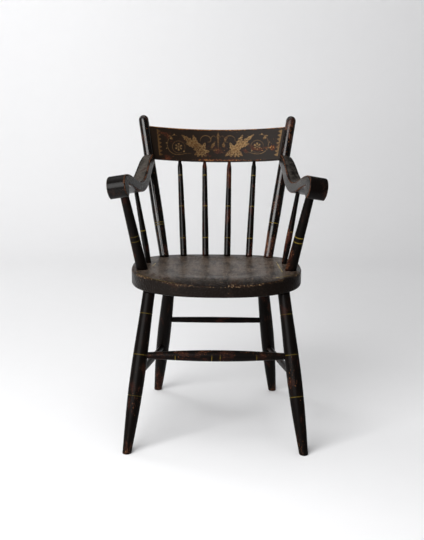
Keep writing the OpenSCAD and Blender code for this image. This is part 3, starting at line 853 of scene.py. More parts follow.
@dataclass
class TurnedPiece:
    """One turned piece between two points, made on a lathe of Geometry Nodes.

    Attributes:
        node: CAD node that the piece stands for.
        start: Low end of its axis.
        end: High end of its axis.
        profile: Distance from the start and radius, in order.
        rings: Its scribed and striped rings.
        wear: Distance and amount of wear, in order.
        rubs: Its rubbed places.
        paint: Its finish.
        level: Whether its section is level at the start, and at the end.
        stripe_loss: How fast the stripes go where it is rubbed.
        stripe: Half the width of a stripe, and the run over which its paint ends.
        groove: Half the width and the depth of a scribed groove.
        ring_room: Distance from a ring within which it alone gives the stations.
        sides: Number of points round a section.
        waves: Height of the waves that the tool leaves.
        level_run: Length over which a level end turns into square sections.
        odd_way: A direction along which no piece lies.
        shift: How far the paint's marks shift from piece to piece, in metres.
    """

    node: str
    start: Points
    end: Points
    profile: Stations
    rings: Sequence[Ring] = ()
    wear: Stations = field(default_factory=lambda: [(0.0, 0.15)])
    rubs: Sequence[Rub] = ()
    paint: OldPaint = LEG_PAINT
    level: tuple[bool, bool] = (False, False)
    stripe_loss: ClassVar[float] = 5.0
    stripe: ClassVar[Pair] = (1.0, 0.4)
    groove: ClassVar[Pair] = (0.45, 0.6)
    ring_room: ClassVar[float] = 2.0
    sides: ClassVar[int] = 56
    waves: ClassVar[float] = 0.22
    level_run: ClassVar[float] = 30.0
    odd_way: ClassVar[Triple] = (0.31, 0.95, 0.05)
    shift: ClassVar[float] = 0.731

    def stations(self) -> tuple[Points, Points, Points]:
        """Distances, radii and stripe values, with a groove at each scribed ring.

        Returns:
            Three arrays of one length.
        """
        band, fade = self.stripe
        groove, depth = self.groove
        s, r = np.array(self.profile).T
        rows = {}
        for place, radius in zip(s, r):
            if all(abs(place - ring.at) > self.ring_room for ring in self.rings):
                rows[float(place)] = (float(radius), 0.0)
        edges = ((-band - fade, 0), (-band, 1), (-groove, 1), (groove, 1), (band, 1), (band + fade, 0))
        for ring in self.rings:
            for off, paint in edges:
                cut = depth if ring.scribed and abs(off) <= groove else 0.0
                rows[ring.at + off] = (float(np.interp(ring.at + off, s, r)) - cut, paint * ring.paint)
        places = np.array(sorted(rows))
        radii, stripes = np.array([rows[a] for a in places]).T
        return places, radii, stripes

    def build(self, lathe: bpy.types.NodeTree, paint: bpy.types.Material, number: int) -> bpy.types.Object:
        """Turns the piece, and gives it what its paint reads.

        Args:
            lathe: Geometry Nodes tree that turns a line of stations.
            paint: Its material.
            number: Number of the piece, which shifts the paint's marks.

        Returns:
            The finished piece, on the chair's body.
        """
        axis = unit(self.end - self.start)
        places, radii, stripes = self.stations()
        line = line_mesh(self.start + places[:, None] * axis, radius=radii * MM)
        given = {"Sides": self.sides, "Unevenness": self.waves * MM, "Shift": float(number), "Paint": paint}
        piece = run_tree(f"{self.node}_turned", line, lathe, **given)
        mesh = piece.data
        co = coordinates(mesh)
        s = (co - self.start) @ axis
        out = co - self.start - s[:, None] * axis
        if any(self.level):
            length, run = float(np.linalg.norm(self.end - self.start)), self.level_run
            low, high = self.level
            share = np.maximum(low * (1 - blend_in(0, run, s)), high * blend_in(length - run, length, s))
            co -= (share * out[:, 2] / axis[2])[:, None] * axis
        co[:, 2] = np.maximum(co[:, 2], 0)
        mesh.vertices.foreach_set("co", (co * MM).astype(np.float32).ravel())
        across = unit(np.cross(axis, self.odd_way))
        own = np.stack([out @ across, out @ np.cross(axis, across), s], -1) * MM + number * self.shift
        facing = out / np.maximum(np.linalg.norm(out, axis=1, keepdims=True), 1e-6)
        rubbed = sum((rub.wear(s, facing) for rub in self.rubs), np.zeros(len(s)))
        store(mesh, "own", own)
        store(mesh, "wear", np.interp(s, *np.array(self.wear).T) + rubbed)
        store(mesh, "stripe", np.interp(s, places, stripes) * np.clip(1 - self.stripe_loss * rubbed, 0, 1))
        return fit_to_frame(piece, Slot.TURNED, self.node)


# Where hands, shoes and cloth have rubbed the turned pieces
RUBBED = {
    "leg_front_left": (Rub((0.2, -1, 0), 100, 150, 0.2),),
    "leg_front_right": (Rub((-0.3, -1, 0), 175, 235, 0.3),),
    "back_post_left": (Rub((0.2, -1, 0), 255, 285, 0.75),),
    "back_post_right": (
        Rub((-0.95, -0.3, 0), 5, 75, 0.65),
        Rub((-0.6, -0.8, 0), 130, 180, 0.3),
        Rub((-0.2, -1, 0), 285, 395, 0.38),
    ),
    "arm_post_right": (Rub((-1, -0.1, 0), -20, 75, 0.75),),
    "arm_spindle_right": (Rub((-1, -0.3, 0), -20, 140, 0.55),),
}


def swelling(sizes: Quad, length: float) -> Callable[[float], float]:
    """The curve of a piece that swells once.

    Args:
        sizes: Diameter at the start, at the swell and at the end, and the distance of the swell.
        length: Length of the piece.

    Returns:
        A function that gives the radius at a distance from the start.
    """
    first, most, last, swell = sizes

    def radius(s: float) -> float:
        """Radius at a distance from the start."""
        if s < swell:
            return eased(first, most, s / swell) / 2
        return eased(most, last, (s - swell) / (length - swell)) / 2

    return radius


def tenon(diameter: float, length: float) -> Stations:
    """Stations of a tenon below the start of a piece."""
    return [(-length, diameter / 2), (-SHOULDER, diameter / 2)]


@dataclass
class TurnedWork:
    """Legs, stretchers, posts and spindles, all turned on the lathe.

    Attributes:
        layout: Places that the pieces share.
        arms: The arms, which say where their posts and spindles stand.
        leg: Diameter at the foot, at the swell and under the seat, and the height of the swell.
        leg_tenon: Diameter and length.
        leg_rings: Distance of the foot's and the lower ring from the floor, and of the upper one from the seat.
        leg_ring_paint: How much of their stripes is left.
        leg_band: Distance of the painted band of the left and the right front leg from the floor.
        front_rung: Height, end diameter, middle diameter.
        front_rung_rings: Distances of its rings from its middle.
        rear_rung: Height, end diameter, middle diameter.
        side_rung: Height at the front leg, at the rear leg, end diameter, middle diameter.
        rung_straight: Share of half a rung that is straight at its end.
        rung_past: How far a rung reaches past the legs' axes.
        post: Diameter at the seat, at the swell and at the dome, and the height of the swell.
        post_rings: Distances of its rings from the seat.
        post_ring_paint: How much of their stripes is left, on the left and on the right post.
        post_tenon: Diameter and length.
        spindle: Diameter at the seat, at the shoulder and of the neck.
        spindle_runs: Where a back spindle starts to taper, and the length of its neck.
        spindle_pitch: Distance between the back spindles at the seat and at the crest.
        spindle_inset: Distance of the middle of their row from the back of the seat.
        spindle_tenon: Diameter and length.
        spindle_bands: Distances of their painted bands from the seat.
        arm_ring_paint: How much of the stripes is left on the left and on the right arm post.
        arm_spindle_band: Distance of the arm spindles' painted band from the seat.
        arm_tenon: Length of an arm support's tenon in the seat, and in the arm.
        arm_tenon_d: Diameter of the tenons of an arm post and of an arm spindle.
        arm_neck: Length that an arm support keeps clear below its tenon in the arm.
        step: Distance between the stations of a curve.
    """

    layout: Layout
    arms: "Arms"
    leg: Quad = (23.0, 39.0, 32.0, 208.0)
    leg_tenon: Pair = (24.0, 28.0)
    leg_rings: Triple = (10.0, 148.0, 62.0)
    leg_ring_paint: Triple = (0.0, 0.32, 0.24)
    leg_band: Pair = (255.0, 257.0)
    front_rung: Triple = (237.0, 17.5, 30.0)
    front_rung_rings: tuple[float, ...] = (-106.0, -11.0, 11.0, 106.0)
    rear_rung: Triple = (246.0, 15.0, 17.5)
    side_rung: Quad = (187.0, 154.0, 14.0, 18.0)
    rung_straight: float = 0.12
    rung_past: float = 5.0
    post: Quad = (27.0, 30.5, 28.5, 130.0)
    post_rings: Pair = (92.0, 99.0)
    post_ring_paint: tuple[Pair, Pair] = ((0.35, 0.35), (0.0, 0.6))
    post_tenon: Pair = (19.0, 28.0)
    spindle: Triple = (19.0, 14.0, 9.0)
    spindle_runs: Pair = (65.0, 20.0)
    spindle_pitch: Pair = (63.0, 73.0)
    spindle_inset: float = 16.0
    spindle_tenon: Pair = (12.0, 18.0)
    spindle_bands: Triple = (51.0, 146.0, 239.0)
    arm_ring_paint: Pair = (0.22, 0.65)
    arm_spindle_band: float = 95.0
    arm_tenon: Pair = (26.0, 6.0)
    arm_tenon_d: Pair = (14.0, 8.5)
    arm_neck: float = 4.0
    step: float = 6.0

    def curve(self, radius: Callable[[float], float], low: float, high: float) -> Stations:
        """Stations of a turned curve at even steps."""
        count = max(2, round((high - low) / self.step))
        return [(s, float(radius(s))) for s in np.linspace(low, high, count + 1)]

    def leg_piece(self, node: str, foot: Points, socket: Points) -> TurnedPiece:
        """A leg, from its worn foot to its tenon in the seat."""
        length = float(np.linalg.norm(socket - foot))
        foot_d, swell_d, _, swell = self.leg
        above = swelling(self.leg, length)

        def radius(s: float) -> float:
            """Radius at a distance from the floor, along a sine up to the swell."""
            if s < swell:
                return (foot_d + (swell_d - foot_d) * math.sin(math.pi / 2 * s / swell)) / 2
            return above(s)

        tenon_d, tenon_l = self.leg_tenon
        # The first stations are the foot's rounded edge
        profile = [(0.0, foot_d / 2 - 1.6), (0.5, foot_d / 2 - 0.7), (1.6, radius(1.6))]
        profile += self.curve(radius, 6.0, length)
        profile += [(length + SHOULDER, tenon_d / 2), (length + tenon_l, tenon_d / 2)]
        low, mid, high = self.leg_rings
        rings = [Ring(*row) for row in zip((low, mid, length - high), self.leg_ring_paint)]
        if "front" in node:
            rings.append(Ring(self.leg_band[foot[0] > 0], 0.25, False))
        wear = [(0, 0.8), (20, 0.55), (60, 0.42), (200, 0.3), (length, 0.1)]
        return TurnedPiece(node, foot, socket, profile, rings, wear, RUBBED.get(node, ()), level=(True, True))

    def rung_piece(self, node: str, a: Points, b: Points, sizes: Pair, rings: Sequence[float] = ()) -> TurnedPiece:
        """A swelling rung between the axes of two legs."""
        way = unit(b - a) * self.rung_past
        start, end = a - way, b + way
        length = float(np.linalg.norm(end - start))
        end_d, mid_d = sizes
        straight = self.rung_straight

        def radius(s: float) -> float:
            """Radius at a distance from the start: straight in the legs, full at the middle."""
            inward = 1 - 2 * abs(s / length - 0.5)
            x = max(0.0, (inward - straight) / (1 - straight))
            return (end_d + (mid_d - end_d) * math.sin(math.pi / 2 * x)) / 2

        profile = self.curve(radius, 0, length)
        # Heels rest on the front rung, so its top is worn
        rubs = [Rub((0.0, -0.3, 1.0), 30, length - 30, 0.35)] if rings else []
        striped = [Ring(length / 2 + x, 0.45) for x in rings]
        return TurnedPiece(node, start, end, profile, striped, [(0, 0.3)], rubs)

    def post_piece(self, side: Side) -> TurnedPiece:
        """A back post with its dome."""
        node = f"back_post_{side.word}"
        base, top = (on_side(p, side) for p in (self.layout.post_base, self.layout.post_top))
        length = float(np.linalg.norm(top - base))
        dome_r = self.post[2] / 2
        turns = np.radians(range(9, 91, 9))
        dome = [(length + dome_r * math.sin(a), max(0.05, dome_r * math.cos(a))) for a in turns]
        profile = tenon(*self.post_tenon) + self.curve(swelling(self.post, length), 0, length) + dome
        rings = [Ring(*row) for row in zip(self.post_rings, self.post_ring_paint[side is Side.RIGHT])]
        wear = [(0, 0.5), (120, 0.3), (330, 0.25), (length, 0.45)]
        return TurnedPiece(node, base, top, profile, rings, wear, RUBBED[node], POST_PAINT, (True, False))

    def spindle_piece(self, number: int) -> TurnedPiece:
        """A back spindle, counted from the left."""
        lay, place = self.layout, number - 2.5
        x, head_x = (place * pitch for pitch in self.spindle_pitch)
        inset, post = self.spindle_inset, lay.post_inset[1]
        y = lay.seat_back - inset - (post - inset) * (x / lay.post_base[0]) ** 2
        foot = point(x, y, lay.seat_h)
        behind = lay.crest_bow - lay.bow_r + math.sqrt(lay.bow_r**2 - head_x**2)
        head = lay.back_point(head_x, behind, lay.crest_bottom)
        length = float(np.linalg.norm(head - foot))
        base_d, shoulder_d, neck_d = self.spindle
        taper, neck = self.spindle_runs
        low = length - neck

        def radius(s: float) -> float:
            """Radius between the taper's start and the shoulder."""
            return (base_d + (shoulder_d - base_d) * max(0.0, s - taper) / (low - taper)) / 2

        profile = tenon(*self.spindle_tenon) + self.curve(radius, 0, low)
        profile += [(low + neck * t, eased(shoulder_d, neck_d, t) / 2) for t in (0.15, 0.35, 0.55, 0.75, 1.0)]
        profile += [(length + self.spindle_tenon[1], neck_d / 2)]
        bands = [Ring(at, 0.5, False) for at in self.spindle_bands]
        wear = [(0, 0.45), (60, 0.3), (200, 0.45)]
        return TurnedPiece(
            f"back_spindle_{number}", foot, head, profile, bands, wear, (), BACK_PAINT, (True, False)
        )

    def arm_support(
        self,
        node: str,
        ends: Sequence[Points],
        sizes: Quad | Pair,
        tenon_d: float,
        rings: Sequence[Ring],
        paint: OldPaint,
    ) -> TurnedPiece:
        """A post or a spindle between the seat and an arm.

        Args:
            node: CAD node that it stands for.
            ends: Where it meets the seat, and where it ends in the arm.
            sizes: Low and high diameter of a straight taper, or the sizes of a swelling piece.
            tenon_d: Diameter of its tenons.
            rings: Its rings.
            paint: Its finish.

        Returns:
            The piece.
        """
        length = float(np.linalg.norm(ends[1] - ends[0]))

        def taper(s: float) -> float:
            """Radius of a straight taper at a distance from the seat."""
            return (sizes[0] + (sizes[1] - sizes[0]) * s / length) / 2

        radius = swelling(sizes, length) if len(sizes) == 4 else taper
        below, above = self.arm_tenon
        neck = length - self.arm_neck
        profile = tenon(tenon_d, below) + self.curve(radius, 0, neck)
        profile += [(neck + SHOULDER, tenon_d / 2), (length + above, tenon_d / 2)]
        return TurnedPiece(node, *ends, profile, rings, [(0, 0.2)], RUBBED.get(node, ()), paint, (True, False))

    def arm_supports(self, side: Side) -> list[TurnedPiece]:
        """The post under the roll of an arm, and the thin spindle under its middle."""
        arms = self.arms
        post = [on_side(p, side) for p in (arms.post_base, arms.post_top)]
        rod = [on_side(p, side) for p in (arms.spindle_base, arms.spindle_top)]
        rings = [Ring(at, self.arm_ring_paint[side is Side.RIGHT]) for at in arms.post_rings]
        band = [Ring(self.arm_spindle_band, 0.6, False)]
        post_tenon, rod_tenon = self.arm_tenon_d
        return [
            self.arm_support(f"arm_post_{side.word}", post, arms.post_d, post_tenon, rings, LEG_PAINT),
            self.arm_support(f"arm_spindle_{side.word}", rod, arms.spindle_d, rod_tenon, band, BACK_PAINT),
        ]

    def pieces(self) -> list[TurnedPiece]:
        """Every turned piece of the chair."""
        lay = self.layout
        made = []
        for side in Side:
            foot, socket = on_side(lay.front_foot, side), on_side(lay.front_socket, side)
            made.append(self.leg_piece(f"leg_front_{side.word}", foot, socket))
            back_foot, back_socket = on_side(lay.rear_foot, side), on_side(lay.rear_socket, side)
            made.append(self.leg_piece(f"leg_rear_{side.word}", back_foot, back_socket))
            a = at_height(foot, socket, self.side_rung[0])
            b = at_height(back_foot, back_socket, self.side_rung[1])
            made.append(self.rung_piece(f"stretcher_{side.word}", a, b, self.side_rung[2:]))
            made += [self.post_piece(side), *self.arm_supports(side)]
        front, rear = (lay.front_foot, lay.front_socket), (lay.rear_foot, lay.rear_socket)
        for node, ends, sizes, rings in (
            ("stretcher_front", front, self.front_rung, self.front_rung_rings),
            ("stretcher_rear", rear, self.rear_rung, ()),
        ):
            right = at_height(*ends, sizes[0])
            made.append(self.rung_piece(node, on_side(right, Side.LEFT), right, sizes[1:], rings))
        return made + [self.spindle_piece(i) for i in range(1, 5)]

    def lathe(self) -> bpy.types.NodeTree:
        """Builds the tree that turns a line of stations into a round piece.

        Returns:
            The tree. Each point of its line has the attribute radius.
        """
        wires, given = Wires.geometry("lathe", Sides="Int", Unevenness="Float", Shift="Float", Paint="Material")
        node = wires.add
        radius = node("GeometryNodeInputNamedAttribute", {"Name": "radius"}, data_type="FLOAT")[0]
        axis = node("GeometryNodeMeshToCurve", (given["Geometry"],))[0]
        circle = {"Resolution": given["Sides"], "Radius": 1.0}
        section = node("GeometryNodeCurvePrimitiveCircle", circle, mode="RADIUS")[0]
        sweep = {"Curve": axis, "Profile Curve": section, "Scale": radius, "Fill Caps": True}
        turned = node("GeometryNodeCurveToMesh", sweep)[0]
        # A hand-held tool leaves long shallow waves, about one in 45 mm
        where = node("GeometryNodeInputPosition")[0]
        moved = node(VECTOR, (where, given["Shift"]), operation="ADD")[0]
        waves = node(NOISE, {"Vector": moved, "Scale": 22.0, "Detail": 1.0}, noise_dimensions="3D")[0]
        amount = node(MATH, (node(MATH, (waves, 0.5), **LESS)[0], given["Unevenness"]), **TIMES)[0]
        normal = node("GeometryNodeInputNormal")[0]
        offset = node(VECTOR, {0: normal, "Scale": amount}, operation="SCALE")[0]
        uneven = node("GeometryNodeSetPosition", {"Geometry": turned, "Offset": offset})[0]
        smooth = node("GeometryNodeSetShadeSmooth", {0: uneven, "Shade Smooth": True})[0]
        return wires.end(smooth, given["Paint"])
    def build(self) -> None:
        """Turns every piece and dresses it."""
        lathe = self.lathe()
        paints = {paint.name: paint.material() for paint in (LEG_PAINT, BACK_PAINT, POST_PAINT)}
        for number, piece in enumerate(self.pieces(), 1):
            piece.build(lathe, paints[piece.paint.name], number)


# Seat


@dataclass
class Seat:
    """The plank seat, with its rolled front, its dish and its rounded arrises.

    Attributes:
        layout: Places that the pieces share.
        powers: Squareness of the back and of the front half of the outline.
        drop: How far the rolled front falls.
        roll_run: Length of the rolled front.
        dish: Depth of the dish.
        dish_half: Half the width and half the depth of the dish.
        dish_y: Y of its middle.
        dish_power: Squareness of the dish.
        dish_flat: Share of the dish that is flat.
        arris: Radius of the rounded upper arris, and of the lower one.
        around: Number of points round the outline.
        samples: Number of points from which those are picked.
        stripes: Start, end, width and share left of each brushed line on the top.
        edge_stripes_and_highlights: The same for the lines that keep to the front-left edge of the top, partly
            stripes and partly a painted highlight of the arris.
        edge_margin: Distance of those lines from the outline.
        stripe_h: Height of a brushed line's body.
    """

    layout: Layout
    powers: Pair = (3.0, 2.4)
    drop: float = 9.0
    roll_run: float = 72.0
    dish: float = 4.0
    dish_half: Pair = (182.0, 146.0)
    dish_y: float = -14.0
    dish_power: float = 2.6
    dish_flat: float = 0.62
    arris: Pair = (3.6, 4.5)
    around: int = 400
    samples: int = 8001
    stripes: tuple[tuple[Pair, Pair, float, float], ...] = (
        ((-175.6, -14.1), (-169.8, 25.5), 2.2, 0.9),
        ((169.3, 51.1), (177.0, -77.4), 2.2, 0.8),
        ((152.3, -148.4), (217.4, -99.1), 1.8, 0.3),
    )
    edge_stripes_and_highlights: tuple[tuple[Pair, Pair, float, float], ...] = (
        ((-212.4, -115.4), (-185.0, -150.0), 1.8, 0.3),
        ((-185.0, -150.0), (-109.9, -203.3), 1.6, 0.2),
    )
    edge_margin: float = 5.0
    stripe_h: float = 0.3

    def outline(self) -> Points:
        """Points of the outline at even distances, counter-clockwise."""
        lay = self.layout
        a = np.linspace(0, 2 * np.pi, self.samples)
        c, s = np.cos(a), np.sin(a)
        power = np.where(s > 0, *self.powers)
        deep = np.where(s > 0, lay.seat_back - lay.seat_mid, lay.seat_mid - lay.seat_front)
        x = np.sign(c) * np.abs(c) ** (2 / power) * lay.seat_w / 2
        y = lay.seat_mid + np.sign(s) * np.abs(s) ** (2 / power) * deep
        run = np.concatenate([[0], np.cumsum(np.hypot(np.diff(x), np.diff(y)))])
        even = np.linspace(0, run[-1], self.around, endpoint=False)
        return np.stack([np.interp(even, run, x), np.interp(even, run, y)], -1)

    def inside(self, margin: float) -> Points:
        """The outline drawn in by a margin, square to its edge."""
        edge = self.outline()
        along = np.roll(edge, -1, 0) - np.roll(edge, 1, 0)
        along /= np.linalg.norm(along, axis=1, keepdims=True)
        return edge + margin * np.stack([-along[:, 1], along[:, 0]], -1)

    def top(self, x: Points, y: Points) -> Points:
        """Height of the seat's top over a place."""
        lay, power = self.layout, self.dish_power
        half_w, half_d = self.dish_half
        out = (np.abs(x / half_w) ** power + np.abs((y - self.dish_y) / half_d) ** power) ** (1 / power)
        roll_r = (self.roll_run**2 + self.drop**2) / (2 * self.drop)
        ahead = np.maximum(0, lay.seat_front + self.roll_run - y)
        roll = roll_r - np.sqrt(roll_r**2 - ahead**2)
        return lay.seat_h - self.dish * (1 - blend_in(self.dish_flat, 1.0, out)) - roll

    def build(self) -> None:
        """Builds and dresses the seat."""
        lay = self.layout
        upper, lower = self.arris
        centre = np.array((0.0, lay.seat_mid))
        rings, wears, dusts = [], [], []

        def ring(flat: Points, z: Points | float, wear: float, dust: float = 0.0) -> None:
            """Adds one ring of points at a height, with less dust and painted sheen on the roll and along the back.
            """
            rings.append(np.column_stack([flat, np.broadcast_to(z, len(flat))]))
            wears.append(np.full(len(flat), wear))
            # Less on the roll, as a painted darker reflection there, and half as much along the back, as painted
            # shade
            rolled = blend_in(0, self.roll_run, lay.seat_front + self.roll_run - flat[:, 1])
            behind = blend_in(0, 50, flat[:, 1] - lay.seat_back + 62)
            dusts.append(dust * (1 - 0.9 * rolled) * (1 - 0.5 * behind))

        # The underside from its middle, the lower arris, the edge, the upper arris, and the top to its middle
        under = self.inside(lower + 6)
        for t in (0.03, 0.3, 0.6, 0.85, 1.0):
            ring(centre + t * (under - centre), lay.seat_under, 0.1)
        for a in np.radians(range(0, 91, 18)):
            ring(self.inside(lower * (1 - math.sin(a))), lay.seat_under + lower * (1 - math.cos(a)), 0.25)
        edge = self.outline()
        top_edge = self.top(*edge.T)
        low = lay.seat_under + lower
        for t in (0.12, 0.3, 0.5, 0.7, 0.88):
            ring(edge, low + t * (top_edge - upper - low), 0.15)
        for degrees in range(0, 91, 15):
            a = math.radians(degrees)
            flat = self.inside(upper * (1 - math.cos(a)))
            ring(flat, self.top(*flat.T) - upper * (1 - math.sin(a)), 0.74 if 0 < degrees < 90 else 0.55)
        for margin in (5.5, 8.0, 11.0):
            flat = self.inside(margin)
            ring(flat, self.top(*flat.T), 0.5, margin / 16)
        for t in np.linspace(1, 0.012, 60)[1:]:
            near = centre + t * (flat - centre)
            ring(near, self.top(*near.T), 0.1 + 0.35 * blend_in(0.7, 1.0, t), 1.0)
        solid = np.array(rings)
        # The grain of the plank runs from front to back, so the paint's own Z is Y
        paint = SEAT_PAINT.material()
        own = solid[..., (0, 2, 1)] * MM
        piece = loft("seat_plank", solid, paint, wear=np.array(wears), dust=np.array(dusts), own=own)
        fit_to_frame(piece, Slot.SEAT, "seat")
        self.pinstripes(paint)

    def pinstripes(self, paint: bpy.types.Material) -> None:
        """Draws what is left of the brushed yellow lines on the seat's top, and the lines along its front-left
        edge, which are in part a painted highlight of the arris.

        Args:
            paint: The seat's paint, which rubs through the lines in the same places.
        """
        wires, given = Wires.geometry("brushed_line", Width="Float", Height="Float", Paint="Material")
        line = wires.add("GeometryNodeMeshToCurve", (given["Geometry"],))[0]
        level = wires.add("GeometryNodeSetCurveNormal", {"Curve": line})[0]
        sizes = {"Width": given["Width"], "Height": given["Height"]}
        brush = wires.add("GeometryNodeCurvePrimitiveQuadrilateral", sizes)[0]
        sweep = {"Curve": level, "Profile Curve": brush, "Fill Caps": True}
        tree = wires.end(wires.add("GeometryNodeCurveToMesh", sweep)[0], given["Paint"])
        share = np.linspace(0, 1, 24)[:, None]
        edge = self.inside(self.edge_margin)
        lines = [(np.array(a) + share * (np.array(b) - a), *rest) for a, b, *rest in self.stripes]
        # These lines along the front-left arris are in part a painted highlight of the arris
        for a, b, *rest in self.edge_stripes_and_highlights:
            first, last = (int(np.linalg.norm(edge - place, axis=1).argmin()) for place in (a, b))
            lines.append((edge[first : last + 1], *rest))
        for number, (flat, width, left) in enumerate(lines, 1):
            mesh = line_mesh(np.column_stack([flat, self.top(*flat.T)]))
            sizes = {"Width": width * MM, "Height": self.stripe_h * MM}
            piece = run_tree(f"seat_pinstripe_{number}", mesh, tree, Paint=paint, **sizes)
            co = coordinates(piece.data)
            store(piece.data, "own", co[:, (0, 2, 1)] * MM)
            store(piece.data, "stripe", np.full(len(co), 1.0))
            store(piece.data, "wear", np.full(len(co), 1.0 - left))
            fit_to_frame(piece, Slot.SEAT)


# Arms


@dataclass
class Arms:
    """The two sawn arms: a strip in an S curve that rolls over its front end.

    Attributes:
        layout: Places that the pieces share.
        over_crest: How far the arm's top at the post stands above the crest's lower edge.
        heel: Where the arm's back end lies, from the post's axis.
        length: From the post's axis to the centre of the roll.
        thick: Thickness of the strip.
        widths: Width at the post and at the roll.
        sink: How far the arm sinks to its low point.
        low_at: Where the low point is, along the arm.
        roll_sink: How far the roll's top lies below the arm's top at the post.
        roll_r: Radius of the roll.
        roll_deep: Depth of the roll from its front to its back.
        splay: Outward turn in plan, in degrees.
        cant: Tilt to the outer side, in degrees.
        arris: Radius of the rounded arrises.
        post_inset: Distance of an arm post from the side and from the front of the seat.
        post_back: How far its top lies behind the centre of the roll.
        post_d: Its diameter at the seat and at the arm.
        post_rings: Distances of its rings from the seat.
        spindle_inset: Distance of an arm spindle from the side and from the front of the seat.
        spindle_back: How far its top lies behind the centre of the roll.
        spindle_d: Its diameter at the seat, at the swell and at the arm, and the height of the swell.
        clean_from: Shares of the length between which the top starts and ends to be free of dust and painted sheen.
        steps: Number of points along the strip, and round the roll.
        own_at: Where the arms' marks lie in the paint's noise, in metres.
    """

    layout: Layout
    over_crest: float = 13.0
    heel: float = 9.0
    length: float = 332.0
    thick: float = 28.0
    widths: Pair = (28.0, 50.0)
    sink: float = 60.0
    low_at: float = 188.0
    roll_sink: float = 25.0
    roll_r: float = 30.0
    roll_deep: float = 38.0
    splay: float = 11.5
    cant: float = 10.0
    arris: float = 2.6
    post_inset: Pair = (30.5, 159.0)
    post_back: float = 22.0
    post_d: Pair = (30.5, 21.0)
    post_rings: Pair = (85.0, 99.0)
    spindle_inset: Pair = (42.0, 245.0)
    spindle_back: float = 138.0
    spindle_d: Quad = (14.5, 17.5, 11.5, 52.0)
    clean_from: Pair = (0.5, 0.75)
    steps: tuple[int, int] = (72, 40)
    own_at: float = 5.1

    @property
    def root(self) -> Points:
        """Where the arm's top meets the axis of the right back post."""
        lay = self.layout
        rise = lay.crest_bottom * math.cos(lay.back_lean) + self.over_crest
        share = (rise - self.thick / 2) / lay.post_rise
        return lay.post_base + point(lay.post_lean[0] * share, lay.post_lean[1] * share, rise)

    @property
    def post_base(self) -> Points:
        """Where the right arm post meets the seat."""
        return self.layout.from_front(self.post_inset, self.layout.seat_h)

    @property
    def spindle_base(self) -> Points:
        """Where the right arm spindle meets the seat."""
        return self.layout.from_front(self.spindle_inset, self.layout.seat_h)

    @property
    def post_top(self) -> Points:
        """Where the right arm post ends, in the middle of the arm."""
        return self.middle(self.length - self.post_back)

    @property
    def spindle_top(self) -> Points:
        """Where the right arm spindle ends, in the middle of the arm."""
        return self.middle(self.length - self.spindle_back)

    def top(self, u: Points | float) -> Points:
        """Height of the arm's top against its root, at a distance along the arm."""
        down = eased(0, -self.sink, u / self.low_at)
        up = eased(-self.sink, -self.roll_sink, (u - self.low_at) / (self.length - self.low_at))
        return np.where(u < self.low_at, down, up)

    def slope(self, u: Points | float) -> Points:
        """Slope of the arm's top, in radians."""
        return np.arctan(self.top(u + 0.5) - self.top(u - 0.5))

    def half(self, u: Points) -> Points:
        """Half the width of the arm at a distance along it."""
        back, front = self.widths
        reach = self.length + self.roll_r
        return (back + (front - back) * np.sin(np.pi / 2 * np.clip(u, 0, reach) / reach)) / 2

    def place(self, u: Points, v: Points, w: Points) -> Points:
        """Points of the right arm's own frame: along, outward and up, given in the chair's frame."""
        cant, turn = math.radians(self.cant), math.radians(self.splay - 90)
        out = v * math.cos(cant) + w * math.sin(cant)
        up = -v * math.sin(cant) + w * math.cos(cant)
        x = u * math.cos(turn) - out * math.sin(turn)
        y = u * math.sin(turn) + out * math.cos(turn)
        return self.root + np.stack(np.broadcast_arrays(x, y, up), -1)

    def middle(self, u: float) -> Points:
        """The middle of the arm's thickness at a distance along it."""
        return self.place(u, 0.0, self.top(u) - self.thick / (2 * math.cos(self.slope(u))))

    def rails(self) -> tuple[Points, Points]:
        """The upper and the lower line of the arm's side, point by point, from the post to the roll.

        Returns:
            Two arrays of points along and up, which meet at the bottom of the roll.
        """
        back = self.length + self.roll_r - self.roll_deep
        share = np.linspace(0, 1, self.steps[0])
        u = self.heel + (self.length - self.heel) * share
        v = self.heel + (back - self.heel) * share
        slope = self.slope(v)
        upper = np.stack([u, self.top(u)], -1)
        lower = np.stack([v + self.thick * np.sin(slope), self.top(v) - self.thick * np.cos(slope)], -1)
        # Both lines go on round the roll, on two arcs of one radius that meet at its lower end
        gap = (2 * self.roll_r - self.roll_deep) / 2
        meet = math.acos(gap / self.roll_r)
        centre_w = -self.roll_sink - self.roll_r
        first = math.asin(np.clip((lower[-1, 1] - centre_w) / self.roll_r, -1, 1))
        turn = np.linspace(math.pi / 2, -meet, self.steps[1])[1:]
        front = np.stack([self.length + self.roll_r * np.cos(turn), centre_w + self.roll_r * np.sin(turn)], -1)
        turn = np.linspace(first, -meet, self.steps[1])[1:]
        rear_centre = self.length + 2 * self.roll_r - self.roll_deep
        rear = np.stack([rear_centre - self.roll_r * np.cos(turn), centre_w + self.roll_r * np.sin(turn)], -1)
        lower[-1, 0] = back + self.roll_r * (1 - math.cos(first))
        return np.concatenate([upper, front]), np.concatenate([lower, rear])

    def section(self, deep: float, half: float) -> tuple[Points, Points, Points, Points]:
        """A rectangle with rounded corners, for one place along the arm.

        Args:
            deep: Distance between the upper and the lower line.
            half: Half the width.

        Returns:
            Distance below the upper line, distance outwards, wear, and dust with painted sheen, round the section.
        """
        r = min(self.arris, deep * 0.45)
        turn = np.radians(range(0, 91, 18))
